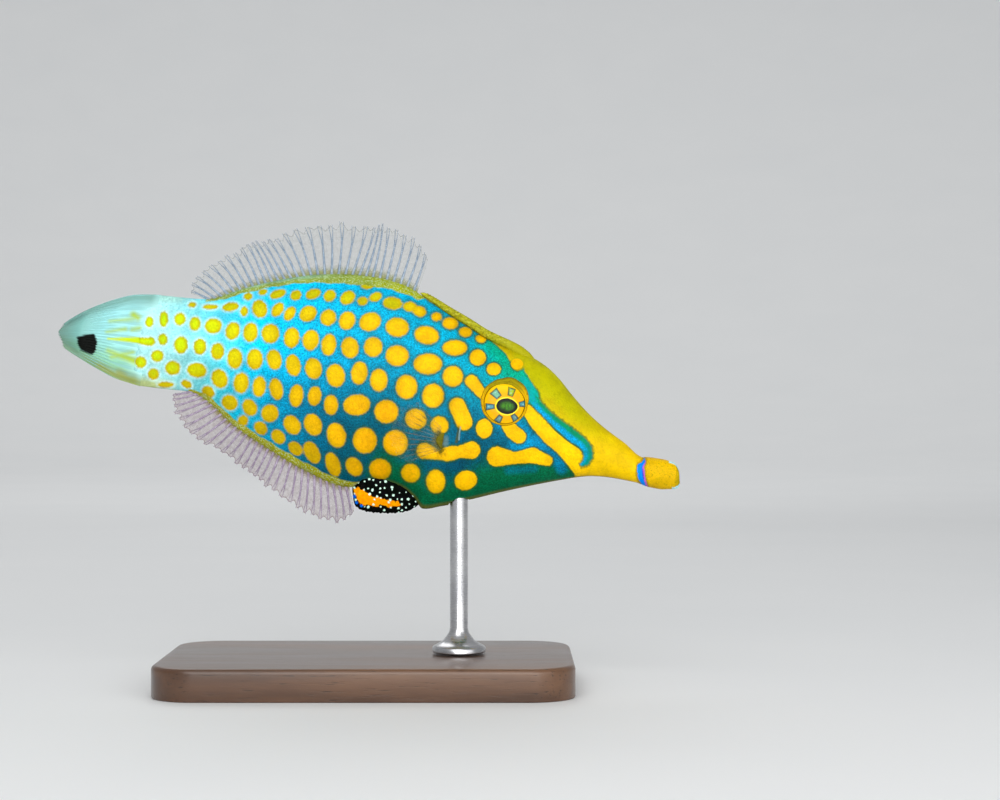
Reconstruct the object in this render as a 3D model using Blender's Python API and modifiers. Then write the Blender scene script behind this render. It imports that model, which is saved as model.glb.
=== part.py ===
"""A harlequin filefish, life size, swimming head down on a plain display stand.

The fish is modelled in its own straight frame: s is the distance behind the snout tip, v the
height above the axis from snout tip to tail tip, and y the side, right side negative. An empty
then tips it nose down and lifts it over the stand. Lengths in tables are in millimetres.
"""

import math

import bmesh
import bpy
from mathutils import Matrix, Vector

MM = 0.001
GAP = 0.3                 # clearance between pieces that touch
TOTAL_LENGTH = 100.0      # snout tip to tail tip
PITCH = math.radians(12.8)
AXIS_HEIGHT = 44.0        # middle of the fish's axis above the floor

# Body outline in side view, and the width and place of its widest line: (s, value)
BACK_LINE = [(6.2, 1.6), (9.6, 3.2), (13.2, 4.8), (16.2, 6.5), (19.4, 8.8), (21.9, 10.8),
             (24.3, 12.2), (27.0, 13.1), (30.5, 13.5), (34.0, 14.2), (37.6, 15.5), (41.5, 16.9),
             (45.5, 18.6), (48.5, 19.6), (52.0, 19.9), (56.0, 19.6), (61.8, 18.4), (67.5, 16.3),
             (73.1, 13.6), (78.2, 10.7), (82.6, 10.0), (86.0, 9.6)]
BELLY_LINE = [(6.2, -2.6), (9.9, -2.7), (13.1, -3.1), (15.5, -3.8), (18.2, -4.9), (22.1, -6.6),
              (26.6, -8.7), (31.0, -10.9), (35.4, -13.0), (38.2, -14.0), (39.6, -12.9),
              (42.0, -11.7), (45.0, -11.3), (48.0, -11.8), (49.8, -13.2), (51.5, -13.4),
              (57.8, -12.2), (64.0, -10.2), (70.3, -7.7), (74.5, -5.2), (77.6, -4.2),
              (81.0, -4.6), (86.0, -5.1)]
HALF_WIDTH = [(6.2, 1.95), (10.0, 2.1), (14.0, 2.6), (18.0, 3.3), (22.0, 4.1), (26.0, 4.8),
              (30.0, 5.2), (35.0, 5.6), (40.0, 5.7), (46.0, 5.6), (52.0, 5.3), (60.0, 4.6),
              (68.0, 3.6), (75.0, 2.7), (80.0, 2.0), (86.0, 1.1)]
WIDEST_LINE = [(6.2, -0.5), (14.0, 0.6), (20.0, 1.6), (28.0, 2.8), (36.0, 2.4), (44.0, 2.6),
               (52.0, 3.4), (62.0, 4.2), (72.0, 4.0), (80.0, 3.0), (86.0, 2.2)]
KEEL = [(6.2, 1.0), (20.0, 1.0), (30.0, 1.1), (45.0, 1.2), (70.0, 1.2), (86.0, 1.0)]
BODY_SIDES = 32           # facets round the body

# Where the body is parted, and how closely each part is ringed
SNOUT_START = 6.2
HEAD_START = 20.5
TORSO_START = 36.3
PEDUNCLE_START = 78.6
BODY_END = 86.0
RING_STEP = {"snout": 1.8, "head": 1.45, "torso": 1.9, "tail_peduncle": 1.9}
CLEARANCE_STEP = 1.6      # between the rings of the body's clearance shape
SHARP_ANGLE = 50.0        # degrees from which an edge stays sharp

# Jaws: a blunt barrel on the end of the snout, with a low swelling at the lips
JAW_RINGS = [0.0, 0.3, 0.8, 1.3, 2.1, 3.2, 4.6, 5.9]
JAW_TOP = [(0.0, 0.7), (0.3, 1.45), (0.8, 1.9), (1.3, 1.9), (2.7, 2.02), (4.4, 1.95), (5.9, 1.75)]
JAW_BOTTOM = [(0.0, -1.45), (0.3, -2.0), (0.8, -2.35), (1.3, -2.45), (2.7, -2.8), (4.4, -2.85),
              (5.9, -2.65)]
JAW_HALF_WIDTH = [(0.0, 1.05), (0.3, 1.6), (0.8, 1.95), (1.3, 1.95), (2.7, 2.15), (4.4, 2.2),
                  (5.9, 1.95)]
JAW_SLANT = 0.35          # the lower jaw reaches further forward
GAPE_HEIGHT = -0.4        # height of the line of the mouth
GAPE_OPEN = 0.65          # opening between the lips at the front
GAPE_DEPTH = 1.6
TEETH_PER_JAW = 4
TOOTH_WIDTH = 0.5
TOOTH_LENGTH = 0.4

# Eye: a flattened ball in a socket with a raised rim
EYE_S, EYE_V = 29.3, 5.0
EYE_RADIUS = 3.3
EYE_DEPTH = 2.3           # half thickness across the head
EYE_PROUD = 0.55          # how far the ball stands out of the skin
RIM_RADIUS = 3.75
RIM_THICKNESS = 0.42
EYE_FACETS = (22, 10)

NOSTRILS = [(24.2, 7.0), (23.1, 6.3)]
NOSTRIL_RADIUS = 0.28
NOSTRIL_DEPTH = 0.7

GILL_TOP = (35.4, 0.4)
GILL_FOOT = (35.1, -2.4)
GILL_WIDTH = 0.5
GILL_DEPTH = 0.9

# First dorsal spine, folded back along the nape: (s, height above the back, radius)
SPINE_PATH = [(28.2, 0.35, 0.80), (30.2, 0.80, 0.70), (33.0, 0.80, 0.62), (36.0, 0.80, 0.58),
              (39.0, 0.80, 0.56), (42.0, 0.75, 0.54), (44.4, 0.60, 0.50), (45.4, 0.50, 0.34)]
SPINE_BARBS = 9
BARB_LENGTH = 0.75
BARB_RADIUS = 0.26
KNUCKLE_PLACE = (28.4, 0.1)     # s and height above the back
KNUCKLE_SIZES = (1.5, 1.15, 0.95)

# Soft fins: rays fan back from a root that follows the body's edge
MEMBRANE_HALF = 0.25      # half thickness of the membrane
RAY_HALF = 0.42           # half thickness of a ray at its root
TIP_HALF = 0.12
MEMBRANE_EDGE = 0.14      # half thickness of the membrane's outer edge
EDGE_START = 0.9          # where that thin edge begins, as a share of the way out
RAY_REACHES = (1.0, 0.955, 0.93)    # of a ray, beside it and midway between two rays
DORSAL = {"front": 46.5, "rear": 78.1, "rays": 32, "wave": 1.2, "waves": 1.75, "phase": 0.6}
DORSAL_LENGTH = [(0.0, 5.9), (0.05, 7.0), (0.11, 7.9), (0.16, 8.3), (0.21, 8.6), (0.26, 8.5),
                 (0.31, 8.2), (0.36, 8.0), (0.41, 8.1), (0.46, 7.9), (0.51, 8.0), (0.56, 7.5),
                 (0.61, 7.4), (0.66, 7.3), (0.74, 7.2), (0.78, 6.3), (0.82, 6.0), (0.86, 5.8),
                 (0.94, 4.8), (1.0, 2.8)]
DORSAL_LEAN = [(0.0, -7.0), (0.05, -7.0), (0.11, -4.0), (0.16, -1.0), (0.21, 1.0), (0.26, -4.0),
               (0.31, -8.0), (0.36, -1.0), (0.41, 8.0), (0.46, 16.0), (0.51, 26.0), (0.56, 36.0),
               (0.61, 41.0), (0.66, 41.0), (0.70, 38.0), (0.74, 36.0), (0.78, 38.0),
               (0.82, 42.0), (0.86, 48.0), (0.9, 56.0), (0.94, 63.0), (1.0, 78.0)]
ANAL = {"front": 50.2, "rear": 77.6, "rays": 29, "wave": 1.1, "waves": 1.5, "phase": 2.2}
ANAL_LENGTH = [(0.0, 4.2), (0.04, 5.4), (0.1, 6.3), (0.17, 6.6), (0.24, 6.5), (0.31, 6.1),
               (0.38, 5.5), (0.45, 5.2), (0.52, 5.0), (0.58, 4.9), (0.64, 4.7), (0.7, 4.9),
               (0.75, 5.6), (0.8, 6.0), (0.85, 5.8), (0.9, 5.2), (0.95, 4.1), (1.0, 2.6)]
ANAL_LEAN = [(0.0, -25.0), (0.04, -24.0), (0.1, -21.0), (0.17, -15.0), (0.24, -11.0),
             (0.31, -6.0), (0.38, 5.0), (0.45, 11.0), (0.52, 13.0), (0.58, 16.0), (0.64, 25.0),
             (0.7, 32.0), (0.75, 38.0), (0.8, 43.0), (0.85, 49.0), (0.9, 54.0), (0.95, 60.0),
             (1.0, 65.0)]

# Tail fin, half closed as the fish glides
TAIL_RAYS = 12
TAIL_ROOT_HALF = 0.85
TAIL_TOP = [(86.3, 9.45), (89.4, 8.8), (92.2, 7.5), (95.8, 5.2), (98.4, 3.0), (100.0, 1.2)]
TAIL_FOOT = [(86.3, -5.0), (89.4, -4.7), (92.7, -3.9), (96.0, -2.8), (98.8, -1.7), (100.0, -0.9)]
TAIL_END = [(0.0, 99.6), (0.4, 100.0), (0.75, 99.5), (1.0, 98.8)]

# Pectoral fins
PECTORAL_S, PECTORAL_V = 37.9, -3.4
PECTORAL_RAYS = 11
PECTORAL_ROOT = 2.6       # height of the row of ray roots
PECTORAL_LENGTH = [(0.0, 6.2), (0.25, 8.2), (0.5, 8.7), (0.75, 7.8), (1.0, 5.4)]
PECTORAL_FAN = (34.0, -34.0)   # degrees above and below straight back
PECTORAL_FLARE = math.radians(20.0)
PECTORAL_SINK = 0.8       # how far the rays start inside the flank
PECTORAL_CUP = 0.5        # how far the fan's middle bows out
LOBE_SIZES = (0.8, 1.5, 1.75)

# Skin flap under the belly, between the pelvis and the vent
FLAP_TOP = [(38.9, -12.6), (42.0, -10.6), (45.0, -10.2), (48.0, -10.7), (49.7, -12.2)]
FLAP_FOOT = [(38.9, -13.9), (40.6, -15.0), (43.0, -15.8), (46.0, -16.3), (48.4, -15.9),
             (49.7, -14.6)]
FLAP_HALF_WIDTH = [(38.9, 0.35), (41.0, 0.85), (45.0, 1.1), (48.0, 0.9), (49.7, 0.35)]
FLAP_STEP = 0.9
FLAP_SIDES = 14

# Display stand
BASE_LENGTH, BASE_WIDTH, BASE_THICKNESS = 64.0, 40.0, 5.0
BASE_CORNER = 7.0
BASE_EDGE = 0.8
ROD_S = 32.8
ROD_RADIUS = 1.4
ROD_EDGE = 0.3            # the small slope round its top
ROD_SIDES = 20
ROD_SOCKET = 3.4          # how deep the rod enters the breast
FOOT_RADIUS = 4.2
FOOT_HEIGHT = 2.6


def smooth_line(points):
    """Returns f(x), a curve through the points that never swings past them."""
    xs = [p[0] for p in points]
    ys = [p[1] for p in points]
    steps = [(ys[i + 1] - ys[i]) / (xs[i + 1] - xs[i]) for i in range(len(xs) - 1)]
    slopes = [steps[0]]
    for before, after in zip(steps, steps[1:]):
        level = before * after <= 0
        slopes.append(0.0 if level else 2 * before * after / (before + after))
    slopes.append(steps[-1])

    def value(x):
        x = min(max(x, xs[0]), xs[-1])
        i = max(k for k in range(len(xs) - 1) if xs[k] <= x or k == 0)
        width = xs[i + 1] - xs[i]
        t = (x - xs[i]) / width
        return (ys[i] * (1 + 2 * t) * (1 - t) ** 2 + slopes[i] * width * t * (1 - t) ** 2
                + ys[i + 1] * t * t * (3 - 2 * t) + slopes[i + 1] * width * t * t * (t - 1))

    return value


back_line = smooth_line(BACK_LINE)
belly_line = smooth_line(BELLY_LINE)
half_width = smooth_line(HALF_WIDTH)
widest_line = smooth_line(WIDEST_LINE)
keel = smooth_line(KEEL)
jaw_top = smooth_line(JAW_TOP)
jaw_bottom = smooth_line(JAW_BOTTOM)
jaw_half_width = smooth_line(JAW_HALF_WIDTH)


def fish_point(s, y, v):
    """A point of the fish's own frame, in metres."""
    return Vector(((TOTAL_LENGTH / 2 - s) * MM, y * MM, v * MM))


def world_point(s, y, v):
    """The same point once the fish is tipped and lifted, in metres."""
    return Matrix.Rotation(PITCH, 4, "Y") @ fish_point(s, y, v) + Vector((0, 0, AXIS_HEIGHT * MM))


def side_at(s, v):
    """Distance of the flank from the middle plane."""
    widest = widest_line(s)
    reach = back_line(s) - widest if v > widest else widest - belly_line(s)
    share = min(abs(v - widest) / reach, 1.0)
    return half_width(s) * math.sqrt(1 - share * share) ** keel(s)


def flank_point(s, v, side):
    """A point on the flank and the outward normal there, in metres; side is 1 left, -1 right."""
    here = fish_point(s, side * side_at(s, v), v)
    step = 0.4
    along = fish_point(s - step, side * side_at(s - step, v), v) - here
    upward = fish_point(s, side * side_at(s, v + step), v + step) - here
    normal = along.cross(upward).normalized()
    return here, normal if normal.y * side > 0 else -normal


def clear_scene():
    for obj in list(bpy.data.objects):
        bpy.data.objects.remove(obj)


def new_collection(name):
    collection = bpy.data.collections.new(name)
    bpy.context.scene.collection.children.link(collection)
    return collection


def principled(name, colour, roughness, metallic=0.0):
    material = bpy.data.materials.new(name)
    material.use_nodes = True
    shader = material.node_tree.nodes["Principled BSDF"]
    shader.inputs["Base Color"].default_value = (*colour, 1)
    shader.inputs["Roughness"].default_value = roughness
    shader.inputs["Metallic"].default_value = metallic
    return material


def mesh_object(name, form, material=None, collection=None):
    """Wraps a bmesh as an object with its faces pointing outwards."""
    bmesh.ops.recalc_face_normals(form, faces=form.faces)
    mesh = bpy.data.meshes.new(name)
    form.to_mesh(mesh)
    form.free()
    mesh.shade_smooth()
    mesh.set_sharp_from_angle(angle=math.radians(SHARP_ANGLE))
    if material:
        mesh.materials.append(material)
    obj = bpy.data.objects.new(name, mesh)
    (collection or FISH).objects.link(obj)
    if collection == CUTTERS:
        obj.hide_render = True
        obj.display_type = "WIRE"
    return obj


def loft(name, rings, material=None, collection=None):
    """A closed skin over like rings of points, with a flat face at each end."""
    form = bmesh.new()
    rows = [[form.verts.new(point) for point in ring] for ring in rings]
    for row, following in zip(rows, rows[1:]):
        for k in range(len(row)):
            nxt = (k + 1) % len(row)
            form.faces.new((row[k], row[nxt], following[nxt], following[k]))
    form.faces.new(rows[0])
    form.faces.new(list(reversed(rows[-1])))
    bmesh.ops.triangulate(form, faces=form.faces)
    return mesh_object(name, form, material, collection)


def body_ring(s, grow=0.0, sides=BODY_SIDES):
    """One cross-section of the body, swollen by grow."""
    widest, ring = widest_line(s), []
    for k in range(sides):
        turn = 2 * math.pi * k / sides
        rise, out = math.cos(turn), math.sin(turn)
        reach = back_line(s) - widest if rise > 0 else widest - belly_line(s)
        y = math.copysign(half_width(s) * abs(out) ** keel(s), out)
        ring.append(fish_point(s, y + grow * out, widest + (reach + grow) * rise))
    return ring


def stations(start, end, step):
    count = max(2, round((end - start) / step))
    return [start + (end - start) * k / count for k in range(count + 1)]


def body_part(name, start, end, material):
    return loft(name, [body_ring(s) for s in stations(start, end, RING_STEP[name])], material)


def body_clearance():
    """The whole body swollen by the gap, which trims what grows from it."""
    rings = [body_ring(s, GAP) for s in stations(SNOUT_START, BODY_END, CLEARANCE_STEP)]
    return loft("clearance", rings, collection=CUTTERS)


def baked(obj):
    """Applies an object's modifiers and keeps only its largest closed surface."""
    bpy.context.view_layer.update()
    graph = bpy.context.evaluated_depsgraph_get()
    mesh = bpy.data.meshes.new_from_object(obj.evaluated_get(graph))
    obj.modifiers.clear()
    obj.data = mesh
    form = bmesh.new()
    form.from_mesh(mesh)
    waiting, shells = set(form.verts), []
    while waiting:
        shell, front = set(), [waiting.pop()]
        while front:
            vert = front.pop()
            shell.add(vert)
            around = {edge.other_vert(vert) for edge in vert.link_edges} & waiting
            waiting -= around
            front.extend(around)
        shells.append(shell)
    largest = max(shells, key=len)
    loose = [vert for vert in form.verts if vert not in largest]
    bmesh.ops.delete(form, geom=loose, context="VERTS")
    form.to_mesh(mesh)
    form.free()


def remove(objects):
    for obj in list(objects):
        bpy.data.objects.remove(obj)


def join_into(obj, pieces, solver="EXACT"):
    """One Boolean union of a collection of closed pieces into obj; the pieces are then removed."""
    group = new_collection(obj.name + "_pieces")
    for piece in pieces:
        for holder in list(piece.users_collection):
            holder.objects.unlink(piece)
        group.objects.link(piece)
    union = obj.modifiers.new("union", "BOOLEAN")
    union.operation = "UNION"
    union.operand_type = "COLLECTION"
    union.collection = group
    union.solver = solver
    baked(obj)
    remove(group.objects)
    bpy.data.collections.remove(group)


def cut_from(obj, cutters, solver="EXACT"):
    """Cuts each cutter out of obj."""
    for cutter in cutters:
        cut = obj.modifiers.new("cut_" + cutter.name, "BOOLEAN")
        cut.operation = "DIFFERENCE"
        cut.object = cutter
        cut.solver = solver
    baked(obj)


def ball(name, centre, sizes, turn=Matrix.Identity(4), segments=EYE_FACETS, collection=None,
         material=None):
    """An ellipsoid; its poles lie on the last of its own axes."""
    form = bmesh.new()
    place = Matrix.Translation(centre) @ turn @ Matrix.Diagonal((*[size * MM for size in sizes], 1))
    bmesh.ops.create_uvsphere(form, u_segments=segments[0], v_segments=segments[1], radius=1,
                              matrix=place)
    return mesh_object(name, form, material, collection or CUTTERS)


def rod_between(name, start, end, radius_start, radius_end, segments=12, collection=None):
    """A round bar or cone from start to end, in metres."""
    form = bmesh.new()
    axis = end - start
    place = (Matrix.Translation((start + end) / 2)
             @ axis.to_track_quat("Z", "Y").to_matrix().to_4x4())
    bmesh.ops.create_cone(form, cap_ends=True, cap_tris=True, segments=segments,
                          radius1=radius_start, radius2=radius_end, depth=axis.length,
                          matrix=place)
    return mesh_object(name, form, None, collection or CUTTERS)


def box(name, centre, sizes, turn=Matrix.Identity(4), collection=None):
    form = bmesh.new()
    place = Matrix.Translation(centre) @ turn @ Matrix.Diagonal((*[size * MM for size in sizes], 1))
    bmesh.ops.create_cube(form, size=1, matrix=place)
    return mesh_object(name, form, None, collection or CUTTERS)


def fin_sheet(name, columns, across, material=None, collection=None):
    """A thin fin. columns holds, from one edge to the other, lists of (centre, half thickness)
    from root to tip; both faces are split into triangles alike."""
    form = bmesh.new()
    faces = []
    for side in (1, -1):
        faces.append([[form.verts.new(centre + across * side * half * MM)
                       for centre, half in column] for column in columns])
    near, far = faces
    wide, tall = len(columns), len(columns[0])
    for i in range(wide - 1):
        for j in range(tall - 1):
            for grid in (near, far):
                a, b, c, d = grid[i][j], grid[i + 1][j], grid[i + 1][j + 1], grid[i][j + 1]
                form.faces.new((a, b, c))
                form.faces.new((a, c, d))
    rim = ([(i, 0) for i in range(wide)] + [(wide - 1, j) for j in range(1, tall)]
           + [(i, tall - 1) for i in range(wide - 2, -1, -1)]
           + [(0, j) for j in range(tall - 2, 0, -1)])
    for (i, j), (k, m) in zip(rim, rim[1:] + rim[:1]):
        form.faces.new((near[i][j], near[k][m], far[k][m]))
        form.faces.new((near[i][j], far[k][m], far[i][j]))
    return mesh_object(name, form, material, collection)


# A ray and half the membrane beside it: (share of the ray spacing, 1 on the ray's crest)
RAY_PROFILE = [(0.0, 0.0), (0.32, 0.12), (0.5, 1.0), (0.68, 0.12)]
RAY_ROWS = [0.0, 0.4, 0.75, 1.0]


def ray_columns(rays):
    """(place along the fin from 0 to 1, crest share) of each column of a rayed fin."""
    columns = [((ray + offset) / rays, crest) for ray in range(rays)
               for offset, crest in RAY_PROFILE]
    return columns + [(1.0, 0.0)]


def ray_half(crest, r):
    """Half thickness at r of the way along a ray or the membrane beside it."""
    membrane = MEMBRANE_HALF if r < EDGE_START else MEMBRANE_EDGE
    return membrane + crest * (RAY_HALF - MEMBRANE_HALF) * (1 - 0.8 * r) * (r < 0.99)


def median_fin(name, sizes, length_line, lean_line, edge_line, up, material):
    """The soft dorsal or anal fin, waving as it sculls; up is 1 above the back, -1 below."""
    length, lean = smooth_line(length_line), smooth_line(lean_line)
    columns = []
    for t, crest in ray_columns(sizes["rays"]):
        s_root = sizes["front"] + (sizes["rear"] - sizes["front"]) * t
        v_root = edge_line(s_root) + up * (GAP + 0.02)
        beat = math.sin(2 * math.pi * sizes["waves"] * t + sizes["phase"])
        angle = math.radians(lean(t))
        reach = length(t) * RAY_REACHES[0 if crest > 0.5 else 1 if crest > 0 else 2]
        column = []
        for r in RAY_ROWS:
            sweep = math.sin(angle) * r * reach
            rise = math.cos(angle) * r * reach
            y = sizes["wave"] * beat * r ** 1.5
            column.append((fish_point(s_root + sweep, y, v_root + up * rise), ray_half(crest, r)))
        columns.append(column)
    return fin_sheet(name, columns, Vector((0, 1, 0)), material)


def tail_fin(material):
    """The tail fin, whose rays fork once towards their tips."""
    top, foot, end = smooth_line(TAIL_TOP), smooth_line(TAIL_FOOT), smooth_line(TAIL_END)
    start = BODY_END + GAP
    columns = []
    for ray in range(TAIL_RAYS + 1):
        for offset, crest in RAY_PROFILE[:1 if ray == TAIL_RAYS else 4]:
            t = (ray + offset) / TAIL_RAYS
            column = []
            for r in (0.0, 0.12, 0.28, 0.45, 0.62, 0.78, 0.9, 1.0):
                s = start + (end(t) - 0.35 * (crest < 0.5) - start) * r
                v = top(s) + (foot(s) - top(s)) * t
                fork = min(max((r - 0.45) / 0.3, 0.0), 1.0)
                ridge = crest * (1 - fork) + fork * (0.8 if 0 < crest < 0.5 else 0.3 * crest)
                root = (TAIL_ROOT_HALF - RAY_HALF) * max(0.0, 1 - r / 0.3) ** 1.5
                half = ray_half(ridge, r * 0.85) + root if r < 1 else TIP_HALF
                column.append((fish_point(s, 0.0, v), half))
            columns.append(column)
    return fin_sheet("tail_fin", columns, Vector((0, 1, 0)), material)


def pectoral_fin(side, material, clearance):
    """One pectoral fin, fanned back and out from a fleshy lobe on the flank."""
    name = "pectoral_fin_left" if side > 0 else "pectoral_fin_right"
    length = smooth_line(PECTORAL_LENGTH)
    root, outward = flank_point(PECTORAL_S, PECTORAL_V, side)
    backward = Vector((-1, 0, 0))
    upward = Vector((0, 0, 1))
    reach_dir = (backward * math.cos(PECTORAL_FLARE) + Vector((0, side, 0))
                 * math.sin(PECTORAL_FLARE)).normalized()
    across = reach_dir.cross(upward).normalized()
    columns = []
    for t, crest in ray_columns(PECTORAL_RAYS):
        fan = math.radians(PECTORAL_FAN[0] + (PECTORAL_FAN[1] - PECTORAL_FAN[0]) * t)
        start = root + (upward * (0.5 - t) * PECTORAL_ROOT - reach_dir * PECTORAL_SINK) * MM
        reach = (length(t) + PECTORAL_SINK) * (1.0 if crest > 0.5 else 0.95)
        column = []
        for r in RAY_ROWS:
            along = reach_dir * math.cos(fan) + upward * math.sin(fan)
            cup = Vector((0, side, 0)) * PECTORAL_CUP * math.sin(math.pi * t) * r * r * MM
            column.append((start + along * reach * r * MM + cup, ray_half(crest, r)))
        columns.append(column)
    fin = fin_sheet(name, columns, across, material)
    turn = across.to_track_quat("X", "Z").to_matrix().to_4x4()
    lobe = ball("lobe", root + reach_dir * 0.5 * MM, LOBE_SIZES, turn, (12, 8))
    join_into(fin, [lobe])
    cut_from(fin, [clearance])
    return fin


def eye(side, material):
    """The eyeball, whose poles look out sideways."""
    surface, normal = flank_point(EYE_S, EYE_V, side)
    centre = surface - normal * (EYE_DEPTH - EYE_PROUD) * MM
    turn = normal.to_track_quat("Z", "Y").to_matrix().to_4x4()
    name = "eye_left" if side > 0 else "eye_right"
    sizes = (EYE_RADIUS, EYE_RADIUS, EYE_DEPTH)
    return ball(name, centre, sizes, turn, EYE_FACETS, FISH, material)


def head(material, rod_cutter):
    """The head, with rims round sockets for the eyes, nostrils, gill slits and the rod's socket."""
    skull = body_part("head", HEAD_START, TORSO_START - GAP, material)
    rims, cutters = [], []
    for side in (1, -1):
        surface, normal = flank_point(EYE_S, EYE_V, side)
        turn = normal.to_track_quat("Z", "Y").to_matrix().to_4x4()
        bpy.ops.mesh.primitive_torus_add(major_segments=26, minor_segments=6,
                                         major_radius=RIM_RADIUS * MM,
                                         minor_radius=RIM_THICKNESS * MM)
        rim = bpy.context.object
        rim.data.transform(Matrix.Translation(surface - normal * 0.1 * MM) @ turn)
        rims.append(rim)
        centre = surface - normal * (EYE_DEPTH - EYE_PROUD) * MM
        sizes = (EYE_RADIUS + GAP, EYE_RADIUS + GAP, EYE_DEPTH + GAP)
        cutters.append(ball("eye_socket", centre, sizes, turn))
        for place in NOSTRILS:
            pit, normal = flank_point(*place, side)
            cutters.append(rod_between("nostril", pit - normal * NOSTRIL_DEPTH * MM,
                                       pit + normal * MM, NOSTRIL_RADIUS * MM,
                                       NOSTRIL_RADIUS * MM, 6))
        top, normal = flank_point(*GILL_TOP, side)
        foot, _ = flank_point(*GILL_FOOT, side)
        slit = (top - foot).normalized()
        across = normal.cross(slit).normalized()
        turn = Matrix((across, normal, slit)).transposed().to_4x4()
        cutters.append(ball("gill_slit", (top + foot) / 2,
                            (GILL_WIDTH / 2, GILL_DEPTH, (top - foot).length / MM / 2), turn,
                            (8, 8)))
    join_into(skull, rims)
    cut_from(skull, cutters + [rod_cutter])
    remove(cutters)
    return skull


def jaw_ring(s, sides=20):
    """One cross-section of the jaws' barrel, sheared so that the lower jaw leads."""
    top, foot, wide = jaw_top(s), jaw_bottom(s), jaw_half_width(s)
    middle, half = (top + foot) / 2, (top - foot) / 2
    ring = []
    for k in range(sides):
        turn = 2 * math.pi * k / sides
        rise, out = math.cos(turn), math.sin(turn)
        lead = JAW_SLANT * rise * max(0.0, 1 - s / 4)
        v = middle + half * math.copysign(abs(rise) ** 0.85, rise)
        ring.append(fish_point(s + lead, wide * math.copysign(abs(out) ** 0.85, out), v))
    return ring


def teeth(up):
    """A row of small cutting teeth that lean into the gape; up is 1 in the upper jaw."""
    row = []
    for k in range(TEETH_PER_JAW):
        share = (k + 0.5) / TEETH_PER_JAW * 2 - 1
        root = fish_point(1.05 + 0.5 * share * share, 1.05 * share,
                          GAPE_HEIGHT + up * (GAPE_OPEN / 2 + 0.35))
        tip = root + Vector((0.25 * MM, 0, -up * (TOOTH_LENGTH + 0.1) * MM))
        row.append(rod_between("tooth", root, tip, TOOTH_WIDTH / 2 * MM, TOOTH_WIDTH / 5 * MM, 6))
    return row


def jaws(material):
    """Upper and lower jaw: a barrel parted along the line of the mouth, open at the front."""
    made = []
    for name, up in (("upper_jaw", 1), ("lower_jaw", -1)):
        rings = [jaw_ring(s) for s in JAW_RINGS]
        jaw = loft(name, rings, material)
        height = GAPE_HEIGHT - up * (8.0 / 2 - GAP / 2)
        far_half = box("half", fish_point(3.0, 0, height), (12.0, 8.0, 8.0))
        slope = math.atan((GAPE_OPEN - GAP) / 2 / GAPE_DEPTH)
        hinge = fish_point(GAPE_DEPTH, 0, GAPE_HEIGHT + up * GAP / 2)
        turn = Matrix.Rotation(-up * slope, 4, "Y")
        place = hinge + turn @ Vector((3.0 * MM, 0, -up * 1.0 * MM))
        wedge = box("gape", place, (6.0, 8.0, 2.0), turn)
        cut_from(jaw, [far_half, wedge])
        remove([far_half, wedge])
        join_into(jaw, teeth(up))
        made.append(jaw)
    return made


def dorsal_spine(material, clearance):
    """The first dorsal spine, folded flat along the nape, with barbs along its upper side."""
    curve = bpy.data.curves.new("dorsal_spine", "CURVE")
    curve.dimensions = "3D"
    curve.bevel_depth = MM
    curve.bevel_resolution = 2
    curve.use_fill_caps = True
    line = curve.splines.new("POLY")
    line.points.add(len(SPINE_PATH) - 1)
    places = []
    for point, (s, height, radius) in zip(line.points, SPINE_PATH):
        place = fish_point(s, 0, back_line(s) + height)
        point.co = (*place, 1)
        point.radius = radius
        places.append((place, radius))
    rod = bpy.data.objects.new("spine_curve", curve)
    CUTTERS.objects.link(rod)
    bpy.context.view_layer.update()
    graph = bpy.context.evaluated_depsgraph_get()
    form = bmesh.new()
    form.from_mesh(bpy.data.meshes.new_from_object(rod.evaluated_get(graph)))
    bmesh.ops.remove_doubles(form, verts=form.verts, dist=0.01 * MM)
    bpy.data.objects.remove(rod)
    spine = mesh_object("dorsal_spine", form, material)
    barbs = []
    for k in range(SPINE_BARBS):
        share = (k + 0.7) / SPINE_BARBS * (len(places) - 2)
        i = int(share)
        (a, ra), (b, rb) = places[i], places[i + 1]
        on_axis = a.lerp(b, share - i)
        radius = ra + (rb - ra) * (share - i)
        for side in (1, -1):
            out = Vector((0, side * 0.45, 0.9)).normalized()
            root = on_axis + out * (radius - 0.3) * MM
            tip = root + (out * 0.8 + Vector((0.55, 0, 0))).normalized() * BARB_LENGTH * MM
            barbs.append(rod_between("barb", root, tip, BARB_RADIUS * MM, 0.05 * MM, 5))
    s, height = KNUCKLE_PLACE
    knuckle = ball("knuckle", fish_point(s, 0, back_line(s) + height), KNUCKLE_SIZES,
                   segments=(14, 8))
    join_into(spine, barbs + [knuckle])
    cut_from(spine, [clearance])
    return spine


def pelvic_flap(material, clearance):
    """The leaf of skin under the belly, trimmed to the belly's own curve."""
    top, foot, wide = smooth_line(FLAP_TOP), smooth_line(FLAP_FOOT), smooth_line(FLAP_HALF_WIDTH)
    rings = []
    for s in stations(FLAP_TOP[0][0], FLAP_TOP[-1][0], FLAP_STEP):
        middle, half = (top(s) + foot(s)) / 2, (top(s) - foot(s)) / 2
        ring = []
        for k in range(FLAP_SIDES):
            turn = 2 * math.pi * k / FLAP_SIDES
            ring.append(fish_point(s, wide(s) * math.sin(turn), middle + half * math.cos(turn)))
        rings.append(ring)
    flap = loft("pelvic_flap", rings, material)
    cut_from(flap, [clearance])
    return flap


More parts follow.
